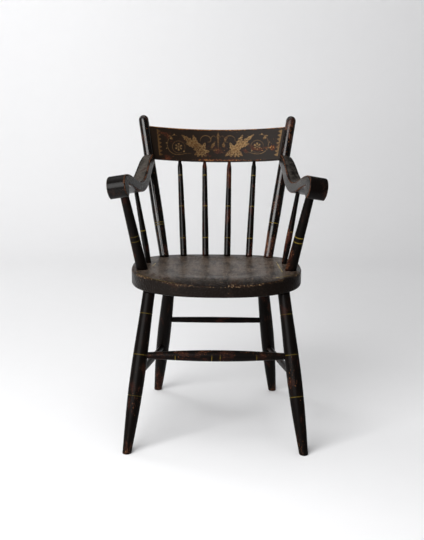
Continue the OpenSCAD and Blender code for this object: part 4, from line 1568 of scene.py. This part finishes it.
        # For each quarter: centre of the corner, end of the side after it, points on that side, wear of
        # the corner, wear and dust with painted sheen of the side. The inner side is the one that hands and sleeves
        # rub
        quarters = (
            ((r, half - r), (deep - r, half), 6, 0.75, 0.1, 0.4),
            ((deep - r, half - r), (deep, r - half), 8, 0.75, 0.42, 0.0),
            ((deep - r, r - half), (r, -half), 6, 1.05, 0.1, 0.5),
            ((r, r - half), (0.0, half - r), 8, 1.05, 0.15, 0.9),
        )
        w, v, wear, dust = [], [], [], []
        for quarter, (centre, end, count, most, side_wear, side_dust) in enumerate(quarters):
            a = turn + math.pi / 2 * quarter
            w += list(centre[0] - r * np.cos(a))
            v += list(centre[1] + r * np.sin(a))
            start, share = (w[-1], v[-1]), np.linspace(0, 1, count + 2)[1:-1]
            w += list(start[0] + (end[0] - start[0]) * share)
            v += list(start[1] + (end[1] - start[1]) * share)
            wear += [most * (0.45 + 0.55 * math.sin(2 * t)) for t in turn] + [side_wear] * count
            dust += [0.2] * len(turn) + [side_dust] * count
        return np.array(w), np.array(v), np.array(wear), np.array(dust)

    def build(self) -> None:
        """Builds and dresses both arms."""
        paint = ARM_PAINT.material()
        upper, lower = self.rails()
        start, end = (share * self.length for share in self.clean_from)
        rings, wears, dusts = [], [], []
        # The last two points are one and the same, so the ring before them closes the roll
        for a, b in zip(upper[:-1], lower[:-1]):
            deep = float(np.linalg.norm(b - a))
            half = float(self.half((a[0] + b[0]) / 2))
            w, v, wear, dust = self.section(deep, half)
            flat = a + w[:, None] * (b - a) / deep
            rings.append(self.place(flat[:, 0], v, flat[:, 1]))
            wears.append(wear)
            # The sides keep their dust and painted sheen to the end, while hands keep the roll clean of dust and it
            # has no painted sheen
            clean = blend_in(start, end, a[0]) * (np.abs(v) < 0.96 * half)
            dusts.append(dust * (1 - clean))
        worn = {"wear": np.array(wears), "dust": np.array(dusts)}
        for side in Side:
            solid = on_side(np.array(rings), side)
            own = solid[..., (0, 2, 1)] * MM + self.own_at + side.value
            piece = loft(f"arm_{side.word}_sawn", solid, paint, own=own, **worn)
            fit_to_frame(piece, Slot.ARM, f"arm_{side.word}")


# Crest


class Ornament:
    """A traditional leaf-and-rosette pattern of the fancy chair, as the crest's bronze is laid.

    Places are in millimetres on the crest's face: x from its middle, z from its lower edge.
    """

    def __init__(self, x: Points, z: Points) -> None:
        """Starts with a bare face."""
        self.x, self.z = x, z
        self.gild = np.zeros_like(x)
        self.tone = np.zeros_like(x)

    def lay(self, cover: Points, tone: Points | float) -> None:
        """Lays bronze of a tone where it covers more than what lies there."""
        over = cover > self.gild
        self.tone = np.where(over, tone, self.tone)
        self.gild = np.maximum(self.gild, cover)

    def dot(self, at: Pair, radius: float, tone: float) -> None:
        """Lays a dot."""
        away = np.hypot(self.x - at[0], self.z - at[1])
        self.lay(1 - blend_in(radius - 0.5, radius + 0.5, away), tone)

    def stroke(self, points: Sequence[Pair], width: float, tone: float, cover: float = 1.0) -> None:
        """Lays a brush stroke that thins towards its ends, on a smooth line through points."""
        given = np.array(points, float)
        padded = np.concatenate([[2 * given[0] - given[1]], given, [2 * given[-1] - given[-2]]])
        samples = []
        for a, b, c, d in zip(padded, padded[1:], padded[2:], padded[3:]):
            for t in np.linspace(0, 1, 9)[:-1]:
                bend = (2 * a - 5 * b + 4 * c - d) * t**2 + (3 * b - a - 3 * c + d) * t**3
                samples.append(0.5 * (2 * b + (c - a) * t + bend))
        samples.append(given[-1])
        line = np.array(samples)
        low, high = line.min(0) - 4, line.max(0) + 4
        near = (self.x > low[0]) & (self.x < high[0]) & (self.z > low[1]) & (self.z < high[1])
        share = np.linspace(0, 1, len(line))
        half = width / 2 * (0.45 + 0.55 * np.sin(np.pi * share))
        gap = np.hypot(self.x[near][:, None] - line[:, 0], self.z[near][:, None] - line[:, 1]) - half
        laid = np.zeros_like(self.x)
        laid[near] = cover * (1 - blend_in(-0.4, 0.5, gap.min(1)))
        self.lay(laid, tone)

    def leaf(self, base: Pair, tip: Pair, half: float, teeth: int, tone: float) -> None:
        """Lays a pointed leaf with toothed edges and a shaded rib.

        Args:
            base: Where the leaf starts.
            tip: Its point.
            half: Half its width.
            teeth: Number of teeth on each edge.
            tone: Brightness of the bronze at its edges.
        """
        a, b = np.array(base, float), np.array(tip, float)
        length = float(np.linalg.norm(b - a))
        way = (b - a) / length
        along = ((self.x - a[0]) * way[0] + (self.z - a[1]) * way[1]) / length
        off = (self.z - a[1]) * way[0] - (self.x - a[0]) * way[1]
        t = np.clip(along, 0, 1)
        turns = teeth * t + np.abs(off) / (2.5 * half)
        wide = half * np.sin(np.pi * t**0.75) ** 0.8 * (0.58 + 0.45 * (turns % 1.0))
        inside = np.where((along > 0) & (along < 1), wide - np.abs(off), -5.0)
        rib = np.exp(-((off / 0.9) ** 2)) * 0.5
        vein = 0.22 * np.cos(2 * np.pi * turns)
        shade = np.clip(tone - rib + vein - 0.25 * (1 - t), 0, 1)
        self.lay(blend_in(-0.5, 0.6, inside), shade)

    def rosette(self, at: Pair, petals: int, radius: float, tone: float) -> None:
        """Lays a flower of wedge-shaped petals."""
        dx, dz = self.x - at[0], self.z - at[1]
        away, turn = np.hypot(dx, dz), np.arctan2(dz, dx)
        petal = np.abs(np.cos(petals / 2 * (turn - np.pi / 2)))
        inner = blend_in(radius * 0.25, radius * 0.4, away) * (1 - blend_in(radius * 0.9, radius, away))
        self.lay(inner * blend_in(0.55, 0.8, petal), tone)
        self.dot(at, radius * 0.16, tone)

    def side_scroll(self, way: int, at: Pair) -> None:
        """Lays a rosette in its ring, and the scroll with buds that turns round it.

        Args:
            way: -1 for the left one, 1 for the right one.
            at: Centre of the rosette.
        """
        cx, cz = at
        tone = 0.75 if way > 0 else 0.6
        self.rosette(at, 6, 11.5, 0.7)
        ring = [(cx + 19 * math.cos(a), cz + 18 * math.sin(a)) for a in np.linspace(-0.4, 5.3, 22)]
        self.stroke(ring, 1.8, 0.35, 0.65)
        turns = [(6, 34), (19, 33), (31, 20), (34, 2), (26, -14), (11, -22), (-6, -22), (-22, -18), (-38, -17)]
        self.stroke([(cx + way * a, cz + b) for a, b in turns], 2.2, tone - 0.15, 0.8)
        buds = ((24, 24, 2.6), (37, 10, 1.8), (36, -6, 1.8), (14, 36, 2.2), (-16, -12, 2.6), (30, 30, 1.7))
        for a, b, size in buds:
            self.dot((cx + way * a, cz + b), size, tone + 0.1)
        self.leaf((cx + way * 18, cz + 20), (cx + way * 28, cz + 33), 3.2, 2, tone)

    def sprays(self) -> None:
        """Lays the two pairs of leaves beside the middle."""
        left = (
            ((-62, 45), (-106, 77), 9.5, 5, 0.55),
            ((-60, 47), (-72, 78), 7.5, 4, 0.6),
            ((-58, 43), (-94, 52), 7.5, 4, 0.5),
            ((-55, 38), (-70, 34), 7.0, 3, 0.5),
            ((-50, 36), (-64, 62), 8.0, 3, 0.6),
            ((-46, 28), (-35, 56), 8.5, 3, 0.75),
            ((-46, 30), (-50, 52), 8.0, 3, 0.65),
            ((-52, 30), (-22, 30), 8.5, 3, 0.75),
            ((-46, 34), (-31, 14), 7.5, 3, 0.7),
            ((-46, 34), (-44, 12), 6.5, 3, 0.65),
            ((-46, 34), (-58, 13), 7.5, 3, 0.6),
            ((-46, 34), (-67, 18), 7.0, 3, 0.55),
        )
        right = (
            ((62, 44), (110, 80), 7.5, 5, 0.85),
            ((58, 42), (76, 80), 8.5, 4, 0.85),
            ((60, 44), (96, 52), 7.5, 4, 0.8),
            ((52, 34), (80, 50), 7.5, 3, 0.75),
            ((50, 30), (38, 57), 8.0, 3, 0.85),
            ((50, 30), (62, 56), 9.0, 3, 0.8),
            ((50, 36), (24, 16), 8.0, 4, 0.75),
            ((50, 36), (40, 13), 7.0, 3, 0.8),
            ((50, 36), (54, 12), 7.0, 3, 0.8),
            ((50, 36), (66, 13), 7.0, 3, 0.75),
            ((52, 38), (76, 16), 7.5, 4, 0.7),
        )
        for leaf in left + right:
            self.leaf(*leaf)

    def middle(self) -> None:
        """Lays the urn of the middle with its scrolls and small leaves."""
        stem = ((2.8, 88, 1.4), (2.8, 82, 2.6), (2.8, 76, 4.2), (2.9, 70, 3.2), (3.0, 64, 1.8), (3.0, 58, 2.6))
        for x, z, r in stem:
            self.dot((x, z), r, 0.25)
        self.stroke([(3, 84), (3.2, 60), (3.8, 40)], 5.0, 0.2, 0.6)
        outer = ((50, 60), (47, 71), (37, 77), (25, 75), (18.5, 67), (21, 59), (28, 58))
        inner = ((4, 72), (10, 77), (17, 72), (18, 62))
        for way, shift in ((-1, 0.0), (1, 4.0)):
            for line, width, tone, cover in ((outer, 2.3, 0.4, 0.85), (inner, 1.8, 0.35, 0.75)):
                self.stroke([(way * a + shift, b) for a, b in line], width, tone, cover)
        self.leaf((-18, 38), (-5, 61), 4.6, 3, 0.6)
        self.leaf((21, 60), (31, 74), 3.2, 2, 0.55)
        self.leaf((19, 42), (20, 58), 5.2, 3, 0.5)
        self.leaf((-12, 32), (0, 38), 2.6, 2, 0.45)
        self.stroke([(-28, 33), (-12, 36), (8, 34), (26, 36)], 2.0, 0.2, 0.4)

    def border(self, top: Pair, bottom: Pair, teeth: Triple) -> None:
        """Lays a saw-tooth border along an end of the board, with its teeth towards the middle.

        Args:
            top: Upper end of its outer edge.
            bottom: Lower end of its outer edge.
            teeth: Pitch and length of the teeth, and width of the plain band.
        """
        pitch, length, band = teeth
        a, b = np.array(top), np.array(bottom)
        way = (b - a) / np.linalg.norm(b - a)
        along = (self.x - a[0]) * way[0] + (self.z - a[1]) * way[1]
        inward = ((self.z - a[1]) * way[0] - (self.x - a[0]) * way[1]) * -math.copysign(1, top[0])
        slant = 1 - np.abs((along / pitch) % 1.0 * 2 - 1)
        reach = band + length * slant
        inside = np.minimum(reach - inward, inward)
        span = np.linalg.norm(b - a)
        inside = np.minimum(inside, np.minimum(along, span - along))
        self.lay(0.8 * blend_in(-0.4, 0.5, inside), 0.25 if top[0] < 0 else 0.6)

    def all(self) -> tuple[Points, Points]:
        """Lays the whole ornament.

        Returns:
            How much bronze lies on each place, and its tone, both from 0 to 1.
        """
        self.side_scroll(-1, (-114.0, 40.0))
        self.side_scroll(1, (119.0, 43.5))
        self.sprays()
        self.middle()
        return self.gild, self.tone


@dataclass
class Crest:
    """The bowed crest board with its ornament and its two saw-tooth borders.

    Attributes:
        layout: Places that the pieces share.
        arris: Radius of the rounded arrises.
        grid: Distance between the points of the face, fine enough for the ornament.
        ends: Share of the posts' splay, and then the share of the whole, that carry it into the posts.
        teeth: Pitch, length and width of the border's plain band.
        borders: Upper and lower end of each border's outer edge.
        worn: Middle, half width and height, and amount of each rubbed place of the face.
        own_at: Where the crest's marks lie in the paint's noise, in metres.
    """

    layout: Layout
    arris: float = 2.4
    grid: float = 1.05
    ends: Pair = (0.02, 1.045)
    teeth: Triple = (11.6, 9.5, 2.5)
    borders: tuple[tuple[Pair, Pair], ...] = (
        ((-181.5, 88.0), (-172.5, 11.0)),
        ((195.5, 88.0), (181.0, 11.0)),
    )
    worn: tuple[tuple[Pair, Pair, float], ...] = (
        ((16.0, 34.0), (34.0, 18.0), 0.48),
        ((130.0, 34.0), (36.0, 10.0), 0.42),
        ((165.0, 37.0), (12.0, 12.0), 0.85),
        ((-140.0, 8.0), (26.0, 8.0), 0.45),
        ((0.0, 1.0), (230.0, 8.0), 0.78),
        ((0.0, 96.0), (230.0, 5.0), 1.15),
    )
    own_at: float = 7.7

    def face(self, arc: Points, up: Points, out: Points | float) -> Points:
        """Points of the board.

        Args:
            arc: Distance along the face from its middle.
            up: Height above the lower edge.
            out: Distance behind the face.

        Returns:
            The points in the chair's frame.
        """
        lay = self.layout
        face_r = lay.bow_r - lay.crest_t / 2
        turn = arc / face_r
        r = face_r + out
        behind = lay.crest_bow - lay.bow_r + r * np.cos(turn)
        return lay.back_point(r * np.sin(turn), behind, lay.crest_bottom + up)

    def section(self) -> tuple[Points, Points, Points]:
        """A rectangle with rounded corners, with many points up its front.

        Returns:
            Height, distance behind the face and wear, round the section.
        """
        r, high, deep = self.arris, self.layout.crest_h, self.layout.crest_t
        turn = np.radians(range(15, 91, 15))
        up = list(np.arange(r, high - r, self.grid))
        out, wear = [0.0] * len(up), [0.15] * len(up)
        corners = ((high - r, r, 1.15), (high - r, deep - r, 0.65), (r, deep - r, 0.6), (r, r, 0.45))
        for quarter, (cz, cy, most) in enumerate(corners):
            a = turn + math.pi / 2 * quarter
            up += list(cz + r * np.sin(a))
            out += list(cy - r * np.cos(a))
            wear += [most] * len(turn)
            if quarter == 1:
                back = list(np.linspace(high - r, r, 12)[1:-1])
                up += back
                out += [deep] * len(back)
                wear += [0.2] * len(back)
        return np.array(up), np.array(out), np.array(wear)

    def build(self) -> None:
        """Builds and dresses the board."""
        lay = self.layout
        splay_share, whole = self.ends
        reach = (lay.crest_half + lay.post_lean[0] * splay_share) * whole
        arc = np.linspace(-reach, reach, round(2 * reach / self.grid))
        along, up = np.meshgrid(arc, self.section()[0], indexing="ij")
        out, wear = (np.broadcast_to(row, up.shape) for row in self.section()[1:])
        # The board is cut to the posts' splay, so it is narrower at its lower edge
        splay = lay.post_lean[0] / lay.back_height
        along = along * (1 - splay * (lay.crest_h / 2 - up) / lay.crest_half)
        front = out < 0.2
        ornament = Ornament(along, up)
        for top, bottom in self.borders:
            ornament.border(top, bottom, self.teeth)
        gild, tone = ornament.all()
        for (x, z), (half_x, half_z), amount in self.worn:
            away = np.hypot((along - x) / half_x, (up - z) / half_z)
            wear = np.maximum(wear, amount * (1 - blend_in(0.4, 1.1, away)) * front)
        own = np.stack([up, out, along], -1) * MM + self.own_at
        dressed = {"wear": wear, "own": own, "gild": gild * front, "tone": tone * front}
        piece = loft("crest_board", self.face(along, up, out), CREST_PAINT.material(), **dressed)
        fit_to_frame(piece, Slot.CREST, "crest_rail")


# Studio


@dataclass(frozen=True)
class Lamp:
    """A soft rectangular lamp.

    Attributes:
        name: Name of the lamp.
        at: Its place, in metres.
        towards: The place that it faces.
        size: Its width and height.
        glow: Brightness of its surface, where 1 is white paper in plain light.
    """

    name: str
    at: Triple
    towards: Triple
    size: Pair
    glow: float

    def build(self) -> None:
        """Hangs the lamp."""
        light = bpy.data.lights.new(self.name, "AREA")
        light.shape, light.size, light.size_y = "RECTANGLE", *self.size
        light.energy = self.glow * math.pi * self.size[0] * self.size[1]
        lamp = put(self.name, light)
        lamp.location = self.at
        lamp.rotation_euler = (Vector(self.towards) - Vector(self.at)).to_track_quat("-Z", "Y").to_euler()
        lamp.visible_camera = False


@dataclass
class Studio:
    """A plain pale floor that turns up into a wall, with a soft window light from the left.

    Attributes:
        front: Y of the floor's front edge, in metres.
        turn_at: Y at which the floor starts to turn up.
        turn_r: Radius of that turn.
        half: Half the width of the paper.
        height: Height of the wall.
        lamps: Its lamps.
        room: Strength of the pale room that the camera sees, and of the light that it gives.
        behind_span: Where the room that the gloss sees turns from dark to pale, by how far it looks back.
        low_span: The same by how far it looks up.
        dark: Strength of its dark part.
    """

    front: float = -7.0
    turn_at: float = 2.1
    turn_r: float = 1.4
    half: float = 7.0
    height: float = 1.55
    lamps: tuple[Lamp, ...] = (
        Lamp("left_window", (-1.38, -2.2, 1.65), (0.0, 0.0, 0.6), (2.4, 1.8), 8.0),
        Lamp("ceiling", (-0.3, 0.3, 3.2), (0.0, 0.3, 0.0), (3.0, 3.0), 1.15),
        Lamp("backdrop_light", (-2.0, 1.5, 2.3), (-0.4, 3.4, 0.8), (1.2, 1.2), 5.2),
    )
    room: Pair = (0.8, 0.32)
    behind_span: Pair = (-0.1, 0.5)
    low_span: Pair = (0.45, 0.25)
    dark: float = 0.04

    def paper(self) -> None:
        """Lays the floor and the wall as one sheet."""
        line = [(self.front, 0.0), (self.turn_at, 0.0)]
        for a in np.linspace(0, math.pi / 2, 25)[1:]:
            line.append((self.turn_at + self.turn_r * math.sin(a), self.turn_r * (1 - math.cos(a))))
        line.append((self.turn_at + self.turn_r, self.height))
        vertices = [(x, y, z) for y, z in line for x in (-self.half, self.half)]
        faces = [(2 * i, 2 * i + 1, 2 * i + 3, 2 * i + 2) for i in range(len(line) - 1)]
        mesh = bpy.data.meshes.new("background_paper")
        mesh.from_pydata(vertices, [], faces)
        mesh.polygons.foreach_set("use_smooth", [True] * len(faces))
        mesh.materials.append(BackdropPaper().material())
        put("background_paper", mesh)

    def world(self) -> None:
        """Sets the room: pale to the eye and behind the chair, darker in front of it."""
        seen, given = self.room
        world = bpy.data.worlds.new("pale_room")
        bpy.context.scene.world = world
        node = Wires.of(world).add
        way = node("ShaderNodeTexCoord")["Generated"]
        parts = node("ShaderNodeSeparateXYZ", (way,))
        behind = node(RANGE, (parts[1], *self.behind_span))[0]
        low = node(RANGE, (parts[2], *self.low_span))[0]
        mirrored = node(MATH, (node(MATH, (behind, low), **TIMES)[0], seen, self.dark), **PLUS_SHARE)[0]
        ray = node("ShaderNodeLightPath")
        shiny = node(MATH, (ray["Is Glossy Ray"], ray["Is Transmission Ray"]), operation="MAXIMUM")[0]
        lit = node(MIX, {0: shiny, 2: given, 3: mirrored})[0]
        lit = node(MIX, {0: ray["Is Camera Ray"], 2: lit, 3: seen})[0]
        node("ShaderNodeOutputWorld", {"Surface": node("ShaderNodeBackground", {"Strength": lit})[0]})
    def build(self) -> None:
        """Lays the paper, hangs the lamps and sets the room."""
        self.paper()
        for lamp in self.lamps:
            lamp.build()
        self.world()
        bpy.context.scene.view_settings.view_transform = "Standard"


@dataclass(frozen=True)
class PhotoCamera:
    """The camera at the photograph's viewing angle.

    Attributes:
        place: Its place, in millimetres.
        focal_px: Focal length, in pixels of the photograph.
        frame_px: Height of the photograph, in pixels.
        pan: Turn to the right, in degrees.
        pitch: Tilt down, in degrees.
        roll: Turn about its own axis, in degrees.
    """

    place: Triple = (-10.80, -2530.17, 984.99)
    focal_px: float = 937.458
    frame_px: float = 540.0
    pan: float = -0.0292
    pitch: float = 12.4736
    roll: float = 0.42558

    def build(self) -> None:
        """Sets up the camera."""
        pan, pitch, roll = (math.radians(a) for a in (self.pan, self.pitch, self.roll))
        ahead = Vector((math.sin(pan) * math.cos(pitch), math.cos(pan) * math.cos(pitch), -math.sin(pitch)))
        level = Vector((math.cos(pan), -math.sin(pan), 0))
        upright = level.cross(ahead)
        right = math.cos(roll) * level + math.sin(roll) * upright
        up = -math.sin(roll) * level + math.cos(roll) * upright
        lens = bpy.data.cameras.new("photo_camera")
        lens.sensor_fit, lens.sensor_width = "AUTO", 36.0
        lens.lens = lens.sensor_width * self.focal_px / self.frame_px
        lens.clip_start, lens.clip_end = 0.1, 50.0
        camera = put("photo_camera", lens)
        turn = Matrix((right, up, -ahead)).transposed()
        camera.matrix_world = Matrix.Translation(Vector(self.place) * MM) @ turn.to_4x4()
        bpy.context.scene.camera = camera


def main() -> None:
    """Loads the frame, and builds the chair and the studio."""
    logging.basicConfig(level=logging.INFO, format="%(name)s: %(message)s")
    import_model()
    layout = Layout()
    PhotoCamera().build()
    Studio().build()
    arms = Arms(layout)
    Seat(layout).build()
    Crest(layout).build()
    arms.build()
    TurnedWork(layout, arms).build()


if __name__ == "__main__":
    main()
